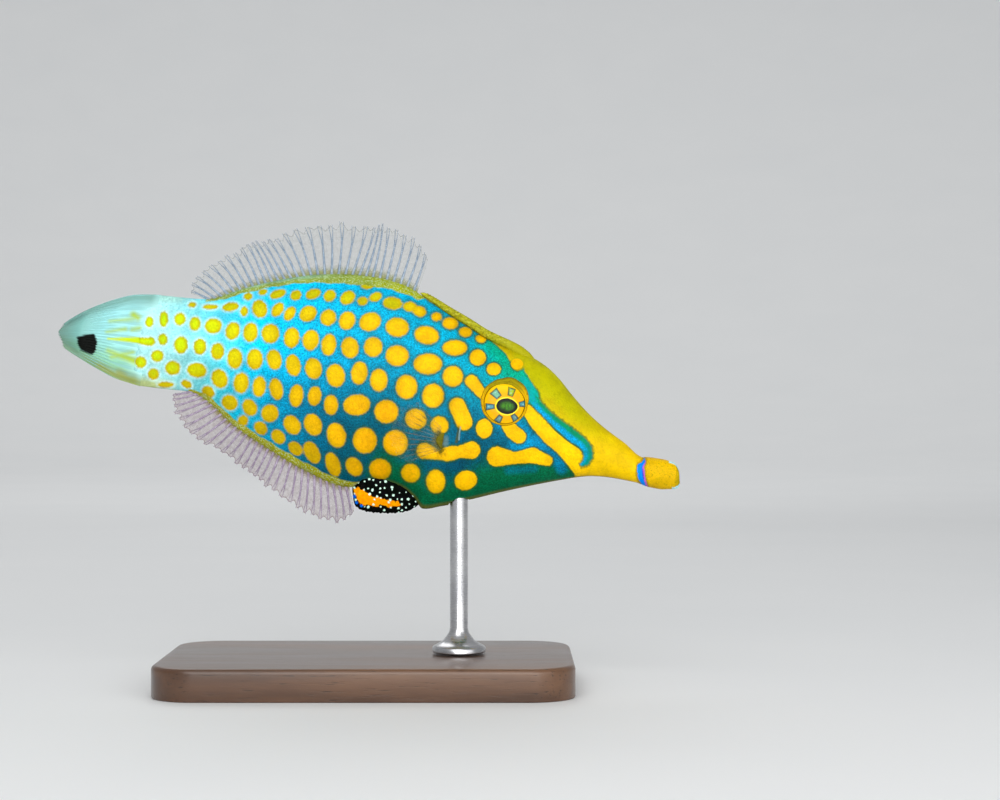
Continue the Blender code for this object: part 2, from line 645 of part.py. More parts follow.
def stand(wood, steel):
    """A flat base and one rod with a turned foot, whose top ends inside the breast."""
    form = bmesh.new()
    place = (Matrix.Translation((0, 0, BASE_THICKNESS / 2 * MM))
             @ Matrix.Diagonal((BASE_LENGTH * MM, BASE_WIDTH * MM, BASE_THICKNESS * MM, 1)))
    bmesh.ops.create_cube(form, size=1, matrix=place)
    upright = [edge for edge in form.edges
               if abs(edge.verts[0].co.z - edge.verts[1].co.z) > BASE_THICKNESS / 2 * MM]
    bmesh.ops.bevel(form, geom=upright, offset=BASE_CORNER * MM, segments=6, affect="EDGES",
                    profile=0.5)
    top = [edge for edge in form.edges
           if min(vert.co.z for vert in edge.verts) > (BASE_THICKNESS - 0.01) * MM]
    bmesh.ops.bevel(form, geom=top, offset=BASE_EDGE * MM, segments=2, affect="EDGES",
                    profile=0.5)
    mesh_object("stand_base", form, wood)

    rod_top = world_point(ROD_S, 0, belly_line(ROD_S)).z / MM + ROD_SOCKET - GAP
    foot_z = BASE_THICKNESS + GAP
    outline = [(0.0, rod_top), (ROD_RADIUS - ROD_EDGE, rod_top), (ROD_RADIUS, rod_top - ROD_EDGE),
               (ROD_RADIUS, foot_z + FOOT_HEIGHT + 1.2), (ROD_RADIUS + 0.5, foot_z + FOOT_HEIGHT),
               (FOOT_RADIUS - 0.8, foot_z + 1.3), (FOOT_RADIUS, foot_z + 0.7),
               (FOOT_RADIUS, foot_z), (0.0, foot_z)]
    profile = bmesh.new()
    verts = [profile.verts.new((r * MM, 0, z * MM)) for r, z in outline]
    for a, b in zip(verts, verts[1:]):
        profile.edges.new((a, b))
    mesh = bpy.data.meshes.new("stand_rod")
    profile.to_mesh(mesh)
    profile.free()
    mesh.materials.append(steel)
    rod = bpy.data.objects.new("stand_rod", mesh)
    FISH.objects.link(rod)
    rod.location = (world_point(ROD_S, 0, belly_line(ROD_S)).x, 0, 0)
    screw = rod.modifiers.new("turn", "SCREW")
    screw.axis = "Z"
    screw.steps = screw.render_steps = ROD_SIDES
    screw.use_merge_vertices = True
    screw.merge_threshold = 0.01 * MM
    screw.use_smooth_shade = True


def rod_socket():
    """The bore in the breast that the rod's top sits in, in the fish's own frame."""
    bottom = world_point(ROD_S, 0, belly_line(ROD_S))
    start = bottom - Vector((0, 0, 3 * MM))
    end = bottom + Vector((0, 0, ROD_SOCKET * MM))
    back = (Matrix.Translation((0, 0, AXIS_HEIGHT * MM)) @ Matrix.Rotation(PITCH, 4, "Y")).inverted()
    radius = (ROD_RADIUS + GAP) * MM
    return rod_between("rod_socket", back @ start, back @ end, radius, radius, ROD_SIDES)


def build():
    blue = principled("skin_blue", (0.0, 0.33, 0.52), 0.45)
    yellow = principled("skin_yellow", (0.9, 0.62, 0.0), 0.45)
    pale = principled("tail_pale", (0.55, 0.78, 0.72), 0.5)
    film = principled("fin_film", (0.36, 0.30, 0.33), 0.35)
    black = principled("flap_black", (0.02, 0.02, 0.02), 0.5)
    iris = principled("eye_iris", (0.95, 0.6, 0.0), 0.15)
    wood = principled("stand_wood", (0.09, 0.045, 0.025), 0.4)
    steel = principled("stand_steel", (0.6, 0.6, 0.6), 0.3, 1.0)

    clearance = body_clearance()
    socket = rod_socket()
    body_part("snout", SNOUT_START, HEAD_START - GAP, yellow)
    head(blue, socket)
    body_part("torso", TORSO_START, PEDUNCLE_START - GAP, blue)
    body_part("tail_peduncle", PEDUNCLE_START, BODY_END, pale)
    jaws(yellow)
    for side in (1, -1):
        eye(side, iris)
        pectoral_fin(side, film, clearance)
    dorsal_spine(yellow, clearance)
    median_fin("dorsal_fin", DORSAL, DORSAL_LENGTH, DORSAL_LEAN, back_line, 1, film)
    median_fin("anal_fin", ANAL, ANAL_LENGTH, ANAL_LEAN, belly_line, -1, film)
    tail_fin(pale)
    pelvic_flap(black, clearance)
    remove([clearance, socket])

    pose = bpy.data.objects.new("fish_pose", None)
    bpy.context.scene.collection.objects.link(pose)
    pose.location = (0, 0, AXIS_HEIGHT * MM)
    pose.rotation_euler = (0, PITCH, 0)
    for obj in FISH.objects:
        obj.parent = pose
    stand(wood, steel)


clear_scene()
FISH = new_collection("harlequin_filefish")
CUTTERS = new_collection("cutters")
build()
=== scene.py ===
"""The looks of a life-size harlequin filefish model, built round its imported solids.

Lengths in the tables are in millimetres of the fish's own frame: s runs back from the snout
tip, v up from the line between snout tip and tail tip, and y out of the fish's left side.
"""

import logging
import math
from collections.abc import Callable, Iterator, Sequence
from contextlib import contextmanager
from dataclasses import dataclass, field
from enum import Enum
from functools import reduce

import bpy
import numpy as np
from bpy.types import Material, NodeSocket, Object
from mathutils import Matrix, Vector

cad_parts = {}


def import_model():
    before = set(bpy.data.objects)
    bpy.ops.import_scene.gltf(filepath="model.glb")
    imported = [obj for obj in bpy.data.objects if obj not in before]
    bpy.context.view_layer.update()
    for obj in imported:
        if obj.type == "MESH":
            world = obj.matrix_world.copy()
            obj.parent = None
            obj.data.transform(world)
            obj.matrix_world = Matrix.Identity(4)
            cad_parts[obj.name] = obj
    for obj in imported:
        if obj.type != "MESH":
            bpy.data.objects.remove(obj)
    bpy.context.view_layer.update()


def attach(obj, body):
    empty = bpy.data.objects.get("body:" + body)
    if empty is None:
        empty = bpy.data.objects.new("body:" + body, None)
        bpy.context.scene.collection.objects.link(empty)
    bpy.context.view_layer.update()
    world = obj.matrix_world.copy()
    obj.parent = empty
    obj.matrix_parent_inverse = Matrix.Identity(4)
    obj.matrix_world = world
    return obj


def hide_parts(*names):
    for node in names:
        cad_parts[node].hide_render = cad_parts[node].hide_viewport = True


LOG = logging.getLogger("filefish")
Array = np.ndarray
Colour = tuple[float, float, float]
Ramp = tuple[tuple[float, Colour], ...]
Points = tuple[tuple[float, ...], ...]

MM = 0.001
TOTAL_LENGTH = 100.0      # snout tip to tail tip
PITCH = math.radians(12.8)
AXIS_HEIGHT = 44.0        # middle of the fish's axis above the floor
SKIN_SINK = 0.06          # how far the skin lies inside the solids


class Side(Enum):
    """The fish's left or right side, with the sign of y there."""

    LEFT = 1
    RIGHT = -1


class Edge(Enum):
    """The edge of the body that a long fin grows from, with its direction."""

    BACK = 1
    BELLY = -1


@dataclass(frozen=True)
class Line:
    """A curve through points (x, y) that never swings past them."""

    points: Points

    def at(self, x: Array | float) -> Array:
        """Reads the curve.

        Args:
            x: where to read it; places past its ends read as its ends.

        Returns:
            The height of the curve at each x.
        """
        xs, ys = np.array(self.points, float).T
        steps = np.diff(ys) / np.diff(xs)
        before, after = steps[:-1], steps[1:]
        level = before * after <= 0
        bends = np.where(level, 0.0, 2 * before * after / np.where(level, 1.0, before + after))
        slopes = np.concatenate(([steps[0]], bends, [steps[-1]]))
        x = np.clip(np.asarray(x, float), xs[0], xs[-1])
        i = np.clip(np.searchsorted(xs, x, side="right") - 1, 0, len(xs) - 2)
        width = xs[i + 1] - xs[i]
        t = (x - xs[i]) / width
        rest = 1 - t
        return (ys[i] * (1 + 2 * t) * rest ** 2 + slopes[i] * width * t * rest ** 2
                + ys[i + 1] * t * t * (3 - 2 * t) + slopes[i + 1] * width * t * t * (t - 1))


def ease(value: Array | float, start: float, end: float) -> Array:
    """Rises smoothly from 0 to 1.

    Args:
        value: the numbers to read.
        start: where the rise begins; it may lie above end.
        end: where the rise is done.

    Returns:
        The height of the rise at each value.
    """
    t = np.clip((np.asarray(value, float) - start) / (end - start), 0, 1)
    return t * t * (3 - 2 * t)


def world(s: Array | float, y: Array | float, v: Array | float) -> Array:
    """Places points of the fish's frame in the model's frame.

    Args:
        s: distance behind the snout tip.
        y: distance out of the left side.
        v: height above the fish's axis.

    Returns:
        The points in metres, one in each row.
    """
    s, y, v = np.broadcast_arrays(np.asarray(s, float), y, v)
    x = TOTAL_LENGTH / 2 - s
    across = x * math.cos(PITCH) + v * math.sin(PITCH)
    up = -x * math.sin(PITCH) + v * math.cos(PITCH) + AXIS_HEIGHT
    return np.stack((across, y, up), axis=-1) * MM


def fish(points: Array) -> tuple[Array, Array, Array]:
    """Reads points of the model's frame in the fish's frame.

    Args:
        points: points in metres, one in each row.

    Returns:
        Their s, y and v.
    """
    x, y, z = (np.asarray(points, float) / MM).T
    z = z - AXIS_HEIGHT
    along = x * math.cos(PITCH) - z * math.sin(PITCH)
    v = x * math.sin(PITCH) + z * math.cos(PITCH)
    return TOTAL_LENGTH / 2 - along, y, v


def deselect_all() -> None:
    """Leaves no object selected or active."""
    for obj in bpy.context.selected_objects:
        obj.select_set(False)
    bpy.context.view_layer.objects.active = None


def pick(obj: Object) -> None:
    """Makes obj the one selected and active object.

    Args:
        obj: the object.
    """
    deselect_all()
    obj.select_set(True)
    bpy.context.view_layer.objects.active = obj


def added(name: str, operator: Callable[..., set], **settings: object) -> Object:
    """Adds one of Blender's primitives.

    Args:
        name: the new object's name.
        operator: the primitive's operator.
        settings: the operator's settings.

    Returns:
        The new object, which is left selected and active.
    """
    deselect_all()
    operator(**settings)
    obj = bpy.context.object
    obj.name = obj.data.name = name
    return obj


def points_of(obj: Object) -> Array:
    """Returns a mesh's vertices, one in each row.

    Args:
        obj: the piece.

    Returns:
        The places in metres.
    """
    flat = np.empty(len(obj.data.vertices) * 3, np.float32)
    obj.data.vertices.foreach_get("co", flat)
    return flat.reshape(-1, 3).astype(float)


def set_points(obj: Object, points: Array) -> None:
    """Moves a mesh's vertices to points, given in metres."""
    obj.data.vertices.foreach_set("co", points.astype(np.float32).ravel())
    obj.data.update()


def mark(obj: Object, name: str, values: Array) -> None:
    """Keeps one number at each vertex, for the material to read."""
    attribute = obj.data.attributes.new(name, "FLOAT", "POINT")
    attribute.data.foreach_set("value", np.asarray(values, np.float32))


def smooth(obj: Object, angle: float = 60.0) -> None:
    """Shades a piece smooth, apart from edges sharper than angle in degrees."""
    pick(obj)
    bpy.ops.object.shade_smooth_by_angle(angle=math.radians(angle))


@contextmanager
def editing(obj: Object) -> Iterator[None]:
    """Opens a mesh in edit mode with all of it selected, and closes it again.

    Args:
        obj: the piece.
    """
    pick(obj)
    bpy.ops.object.mode_set(mode="EDIT")
    bpy.ops.mesh.select_all(action="SELECT")
    yield
    bpy.ops.object.mode_set(mode="OBJECT")


def outward(obj: Object) -> None:
    """Turns the faces of a closed piece outwards."""
    with editing(obj):
        bpy.ops.mesh.normals_make_consistent(inside=False)


def settle(obj: Object) -> None:
    """Puts a piece's place and turn into its mesh."""
    pick(obj)
    bpy.ops.object.transform_apply(location=True, rotation=True, scale=True)


def apply_modifiers(obj: Object) -> None:
    """Applies every modifier of a piece, in order.

    Args:
        obj: the piece.
    """
    pick(obj)
    for modifier in list(obj.modifiers):
        bpy.ops.object.modifier_apply(modifier=modifier.name)


def joined(name: str, parts: Sequence[Object]) -> Object:
    """Joins parts into one piece.

    Args:
        name: the piece's name.
        parts: the objects to join; the first one is kept.

    Returns:
        The joined object.
    """
    pick(parts[0])
    for part in parts[1:]:
        part.select_set(True)
    if len(parts) > 1:
        bpy.ops.object.join()
    parts[0].name = parts[0].data.name = name
    return parts[0]


def twin(obj: Object, name: str) -> Object:
    """Copies an object together with its mesh.

    Args:
        obj: the object.
        name: the copy's name.

    Returns:
        The copy.
    """
    copy = obj.copy()
    copy.data = obj.data.copy()
    copy.name = copy.data.name = name
    bpy.context.scene.collection.objects.link(copy)
    return copy


def stem(name: str, sides: int, steps: int) -> Object:
    """Extrudes a disc into a straight round bar of radius 1, from 0 to 1 along Z.

    Args:
        name: the bar's name.
        sides: facets round the bar.
        steps: lengths that the bar is divided into.

    Returns:
        The bar, a closed mesh to be laid along a line.
    """
    bar = added(name, bpy.ops.mesh.primitive_circle_add, vertices=sides, radius=1,
                fill_type="NGON")
    with editing(bar):
        for _ in range(steps):
            bpy.ops.mesh.extrude_region_move(TRANSFORM_OT_translate={"value": (0, 0, 1 / steps)})
    outward(bar)
    return bar


def laid(bar: Object, name: str, line: Array, radii: Array,
         across: Sequence[float] = (0, 1, 0)) -> Object:
    """Copies a straight bar and lays the copy along a line.

    Args:
        bar: the bar made by stem.
        name: the copy's name.
        line: points of the line in metres, one in each row.
        radii: the bar's radius at each point, in millimetres.
        across: a direction that the line never follows.

    Returns:
        The copy, with a mesh of its own.
    """
    copy = twin(bar, name)
    local = points_of(copy)
    share = np.linspace(0, 1, len(line))
    heading = np.gradient(line, axis=0)
    along = np.clip(local[:, 2], 0, 1)
    centre = np.stack([np.interp(along, share, line[:, k]) for k in range(3)], axis=1)
    tangent = np.stack([np.interp(along, share, heading[:, k]) for k in range(3)], axis=1)
    tangent /= np.linalg.norm(tangent, axis=1, keepdims=True)
    first = np.cross(tangent, np.asarray(across, float))
    first /= np.linalg.norm(first, axis=1, keepdims=True)
    second = np.cross(tangent, first)
    radius = np.interp(along, share, radii)[:, None] * MM
    set_points(copy, centre + radius * (local[:, :1] * first + local[:, 1:2] * second))
    return copy


def hang(obj: Object, finish: "Finish", slot: str, *nodes: str,
         angle: float = 180.0) -> Object:
    """Smooths a shaped piece, gives it its finish and makes it part of the model.

    Args:
        obj: the piece, with its place in its mesh.
        finish: its finish.
        slot: the material slot that the finish belongs to; not used.
        nodes: the CAD nodes that it stands for.
        angle: edges sharper than this stay sharp, in degrees.

    Returns:
        The piece.
    """
    smooth(obj, angle)
    obj.data.materials.append(finish.material())
    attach(obj, "root")
    if nodes:
        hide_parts(*nodes)
    LOG.info("%s: %d faces", obj.name, len(obj.data.polygons))
    return obj


def melted(a: Array, b: Array, width: float) -> Array:
    """Joins two marks, whose edges run together where both are nearer than width.

    Args:
        a: the distances from the first mark's edge.
        b: the distances from the second mark's edge.
        width: how far the marks reach out for each other.

    Returns:
        The distances from the edge of the joined mark.
    """
    near = np.maximum(width - np.abs(a - b), 0) / width
    return np.minimum(a, b) - near * near * width / 4


@dataclass(frozen=True)
class Sheet:
    """Points on a flat drawing, which measures how far they lie outside a mark."""

    s: Array
    v: Array

    def oval(self, spot: Sequence[float], tilt: float) -> Array:
        """Measures from an oval spot.

        Args:
            spot: the oval's (s, v, width, height).
            tilt: the turn of its width from the s axis, in degrees.

        Returns:
            The distance from the oval's edge, below 0 inside it.
        """
        turn = math.radians(tilt)
        s, v = self.s - spot[0], self.v - spot[1]
        along = s * math.cos(turn) + v * math.sin(turn)
        beside = v * math.cos(turn) - s * math.sin(turn)
        a, b = spot[2] / 2, spot[3] / 2
        reach = np.hypot(along / a, beside / b)
        slope = np.hypot(along / a ** 2, beside / b ** 2)
        return reach * (reach - 1) / np.maximum(slope, 1e-6)

    def discs(self, discs: Points) -> Array:
        """Returns the distance from the edge of the nearest round spot (s, v, radius)."""
        return np.min([np.hypot(self.s - s, self.v - v) - radius for s, v, radius in discs],
                      axis=0)

    def chain(self, chain: Points) -> tuple[Array, Array]:
        """Measures from a chain of round blobs joined by tapered bars.

        Args:
            chain: (s, v, radius) of each blob, in order.

        Returns:
            The distance from the chain's edge, below 0 inside it, and the signed distance from
            its middle line, above 0 on the side of the back where the chain runs forwards.
        """
        gap = np.full(self.s.shape, 1e3)
        beside = np.zeros(self.s.shape)
        for (s0, v0, r0), (s1, v1, r1) in zip(chain, chain[1:]):
            ds, dv = s1 - s0, v1 - v0
            length = math.hypot(ds, dv)
            t = np.clip(((self.s - s0) * ds + (self.v - v0) * dv) / length ** 2, 0, 1)
            away_s, away_v = self.s - (s0 + ds * t), self.v - (v0 + dv * t)
            here = np.hypot(away_s, away_v) - (r0 + (r1 - r0) * t)
            nearer = here < gap
            gap = np.where(nearer, here, gap)
            beside = np.where(nearer, (away_s * dv - away_v * ds) / length, beside)
        return gap, beside

    def area(self, corners: Points) -> Array:
        """Returns the distance from a closed outline, below 0 inside it.

        Args:
            corners: the outline's corners (s, v), in order.

        Returns:
            The distances.
        """
        s, v = self.s, self.v
        gap = np.full(s.shape, 1e3)
        inside = np.zeros(s.shape, bool)
        for (s0, v0), (s1, v1) in zip(corners, corners[1:] + corners[:1]):
            ds, dv = s1 - s0, v1 - v0
            t = np.clip(((s - s0) * ds + (v - v0) * dv) / (ds * ds + dv * dv), 0, 1)
            gap = np.minimum(gap, np.hypot(s - (s0 + ds * t), v - (v0 + dv * t)))
            crosses = (v0 > v) != (v1 > v)
            level = dv if dv else 1.0
            inside ^= crosses & (s < s0 + (v - v0) * ds / level)
        return np.where(inside, -gap, gap)


class Graph:
    """A material's nodes round one Principled shader, a method for each kind of node."""

    def __init__(self, name: str) -> None:
        """Starts a new material.

        Args:
            name: the material's name.
        """
        self.material = bpy.data.materials.new(name)
        self.material.use_nodes = True
        self.tree = self.material.node_tree
        self.shader = self.tree.nodes["Principled BSDF"]

    def feed(self, socket: NodeSocket, value: object) -> None:
        """Links a socket to another one or a named attribute, or sets its constant.

        Args:
            socket: the socket.
            value: what it is fed with.
        """
        if isinstance(value, str):
            value = self.attribute(value)
        if isinstance(value, NodeSocket):
            self.tree.links.new(value, socket)
        elif isinstance(value, tuple) and socket.type == "RGBA":
            socket.default_value = (*value, 1)
        else:
            socket.default_value = value

    def surface(self, **values: object) -> None:
        """Feeds the shader's sockets, named with underscores for spaces."""
        for name, value in values.items():
            self.feed(self.shader.inputs[name.replace("_", " ")], value)

    def add(self, kind: str, out: int | str, inputs: dict[int | str, object],
            **options: object) -> NodeSocket:
        """Adds a node.

        Args:
            kind: the node's type, without the shader prefix.
            out: which output is read.
            inputs: what its sockets are fed with.
            options: its settings.

        Returns:
            The output.
        """
        node = self.tree.nodes.new(f"ShaderNode{kind}")
        for name, value in options.items():
            setattr(node, name, value)
        for name, value in inputs.items():
            self.feed(node.inputs[name], value)
        return node.outputs[out]

    def attribute(self, name: str) -> NodeSocket:
        """Returns a number kept at the piece's vertices."""
        return self.add("Attribute", "Fac", {}, attribute_name=name)

    def place(self, scale: Sequence[float] = (1, 1, 1),
              rotation: Sequence[float] = (0, 0, 0)) -> NodeSocket:
        """Returns the place on the piece, stretched and turned.

        Args:
            scale: the stretch along each axis.
            rotation: the turn about each axis.

        Returns:
            The mapped place.
        """
        coordinates = self.add("TexCoord", "Object", {})
        return self.add("Mapping", "Vector", {"Vector": coordinates, "Scale": scale,
                                              "Rotation": rotation})

    def both(self, *parts: object) -> NodeSocket:
        """Returns a vector made of up to three numbers."""
        return self.add("CombineXYZ", "Vector", dict(enumerate(parts)))

    def math(self, operation: str, a: object, b: object = 0.0) -> NodeSocket:
        """Returns the result of a sum of two numbers."""
        return self.add("Math", "Value", {0: a, 1: b}, operation=operation)

    def times(self, *parts: object) -> NodeSocket:
        """Returns the product of some numbers."""
        return reduce(lambda a, b: self.math("MULTIPLY", a, b), parts)

    def torn(self, value: object, noise: object, amount: float) -> NodeSocket:
        """Returns a number that noise swings up and down by half an amount."""
        swing = self.times(self.math("SUBTRACT", noise, 0.5), amount)
        return self.math("ADD", value, swing)

    def rise(self, value: object, start: float, end: float, low: float = 0.0,
             high: float = 1.0) -> NodeSocket:
        """Returns a smooth rise of value from low at start to high at end.

        Args:
            value: the number to read.
            start: where the rise begins.
            end: where it is done.
            low: the result up to start.
            high: the result from end on.

        Returns:
            The rise.
        """
        ends = {"From Min": start, "From Max": end, "To Min": low, "To Max": high}
        return self.add("MapRange", "Result", {"Value": value, **ends},
                        interpolation_type="SMOOTHSTEP")

    def mix(self, share: object, a: object, b: object,
            blend: str = "MIX") -> NodeSocket:
        """Returns colour a turned into colour b by a share."""
        return self.add("Mix", 2, {0: share, 6: a, 7: b}, data_type="RGBA", blend_type=blend,
                        clamp_factor=True)

    def tinted(self, colour: object, by: object) -> NodeSocket:
        """Returns a colour multiplied by another one or by a number."""
        return self.mix(1.0, colour, by, "MULTIPLY")

    def over(self, below: object, colour: object, value: object, start: float, end: float,
             most: float = 1.0) -> NodeSocket:
        """Lays a colour over another one, from nothing at start to most at end of value."""
        return self.mix(self.rise(value, start, end, 0.0, most), below, colour)

    def within(self, below: object, colour: object, most: float,
               *rises: tuple[object, ...]) -> NodeSocket:
        """Lays a colour over another one where several rises meet, by most of it there."""
        return self.mix(self.times(*(self.rise(*rise) for rise in rises), most), below, colour)

    def ramp(self, value: object, stops: Ramp) -> NodeSocket:
        """Returns the colour of a ramp with its stops at shares of 0 to 1.

        Args:
            value: the share.
            stops: (share, colour) of each stop.

        Returns:
            The colour.
        """
        node = self.tree.nodes.new("ShaderNodeValToRGB")
        elements = node.color_ramp.elements
        while len(elements) < len(stops):
            elements.new(0.5)
        for element, (position, colour) in zip(elements, stops):
            element.position = position
            element.color = (*colour, 1)
        self.feed(node.inputs["Fac"], value)
        return node.outputs["Color"]

    def noise(self, place: object, scale: float, detail: float = 2.0,
              roughness: float = 0.5) -> NodeSocket:
        """Returns soft noise from 0 to 1, with scale waves in a unit of the place."""
        return self.add("TexNoise", "Fac", {"Vector": place, "Scale": scale, "Detail": detail,
                                            "Roughness": roughness})

    def cells(self, place: object, scale: float,
              randomness: float = 1.0) -> NodeSocket:
        """Returns the distance from the middle of the nearest of many scattered cells."""
        return self.add("TexVoronoi", "Distance", {"Vector": place, "Scale": scale,
                                                   "Randomness": randomness})

    def bump(self, height: object, distance: float, strength: float = 1.0,
             below: object = None) -> NodeSocket:
        """Returns a normal tipped by a height map.

        Args:
            height: the height from 0 to 1.
            distance: what a height of 1 measures, in millimetres.
            strength: how much of it shows.
            below: a normal that is tipped already.

        Returns:
            The normal.
        """
        inputs = {"Height": height, "Distance": distance * MM, "Strength": strength}
        if below is not None:
            inputs["Normal"] = below
        return self.add("Bump", "Normal", inputs)


@dataclass(frozen=True)
class BodyForm:
    """The outline of the fish from the side and its width, from the lips to the tail fin."""

    top: Line = Line((
        (0, 0.5), (0.3, 1.25), (0.8, 1.78), (1.3, 1.9), (2.7, 2.02), (4.4, 1.95), (5.9, 1.75),
        (6.2, 1.6), (9.6, 3.2), (13.2, 4.8), (16.2, 6.5), (19.4, 8.8), (21.9, 10.8),
        (24.3, 12.2), (27, 13.1), (30.5, 13.5), (34, 14.2), (37.6, 15.5), (41.5, 16.9),
        (45.5, 18.6), (48.5, 19.6), (52, 19.9), (56, 19.6), (61.8, 18.4), (67.5, 16.3),
        (73.1, 13.6), (78.2, 10.7), (82.6, 10), (86, 9.6)))
    foot: Line = Line((
        (0, -1.45), (0.3, -2), (0.8, -2.35), (1.3, -2.45), (2.7, -2.8), (4.4, -2.85),
        (5.9, -2.65), (6.2, -2.6), (9.9, -2.7), (13.1, -3.1), (15.5, -3.8), (18.2, -4.9),
        (22.1, -6.6), (26.6, -8.7), (31, -10.9), (35.4, -13), (38.2, -14), (39.6, -12.9),
        (42, -11.7), (45, -11.3), (48, -11.8), (49.8, -13.2), (51.5, -13.4),
        (57.8, -12.2), (64, -10.2), (70.3, -7.7), (74.5, -5.2), (77.6, -4.2), (81, -4.6),
        (86, -5.1)))
    wide: Line = Line((
        (0, 1.05), (0.3, 1.6), (0.8, 1.95), (1.3, 1.95), (2.7, 2.15), (4.4, 2.2), (5.9, 1.95),
        (6.2, 1.95), (10, 2.1), (14, 2.6), (18, 3.3), (22, 4.1), (26, 4.8),
        (30, 5.2), (35, 5.6), (40, 5.7), (46, 5.6), (52, 5.3), (60, 4.6),
        (68, 3.6), (75, 2.7), (80, 2), (86, 1.1)))
    middle: Line = Line((
        (0, -0.37), (0.8, -0.23), (2.7, -0.39), (4.4, -0.45), (6.2, -0.5), (14, 0.6),
        (20, 1.6), (28, 2.8), (36, 2.4), (44, 2.6), (52, 3.4), (62, 4.2),
        (72, 4), (80, 3), (86, 2.2)))
    keel: Line = Line(((0, 0.85), (5.9, 0.85), (6.3, 1), (20, 1), (30, 1.1),
                       (45, 1.2), (70, 1.2), (86, 1)))
    jaw_square: Line = Line(((0, 0.85), (5.9, 0.85), (6.3, 1)))
    jaw_slant: float = 0.35   # the lower jaw reaches further forward
    body_end: float = 86.0

    def ring(self, s: Array, turn: Array, sink: float) -> tuple[Array, Array]:
        """Gives points round the body.

        Args:
            s: the ring's distance behind the snout tip.
            turn: the angle round it, from the back towards the left side.
            sink: how far inside the body's surface the points lie.

        Returns:
            Their y and v.
        """
        rise, out = np.cos(turn), np.sin(turn)
        middle = self.middle.at(s)
        reach = np.where(rise > 0, self.top.at(s) - middle, middle - self.foot.at(s)) - sink
        v = middle + reach * np.sign(rise) * np.abs(rise) ** self.jaw_square.at(s)
        y = (self.wide.at(s) - sink) * np.sign(out) * np.abs(out) ** self.keel.at(s)
        return y, v

    def side_at(self, s: Array | float, v: Array | float) -> Array:
        """Returns the distance of the flank from the middle plane.

        Args:
            s: the points' distance behind the snout tip.
            v: their height above the axis.

        Returns:
            The distances.
        """
        middle = self.middle.at(s)
        reach = np.where(v > middle, self.top.at(s) - middle, middle - self.foot.at(s))
        share = np.minimum(np.abs(v - middle) / reach, 1.0)
        return self.wide.at(s) * np.sqrt(1 - share ** 2) ** self.keel.at(s)

    def flank(self, s: float, v: float, side: Side) -> tuple[Array, Array]:
        """Finds a place on the flank.

        Args:
            s: distance behind the snout tip.
            v: height above the axis.
            side: the flank.

        Returns:
            The point in metres and the outward normal there.
        """
        step, sign = 0.4, side.value
        here = world(s, sign * self.side_at(s, v), v)
        along = world(s - step, sign * self.side_at(s - step, v), v) - here
        upward = world(s, sign * self.side_at(s, v + step), v + step) - here
        normal = np.cross(along, upward)
        normal /= np.linalg.norm(normal)
        return here, normal * math.copysign(1, normal[1] * sign)


BODY = BodyForm()
EYE_PLACE = (29.3, 5.0)     # (s, v) of the middle of each eye


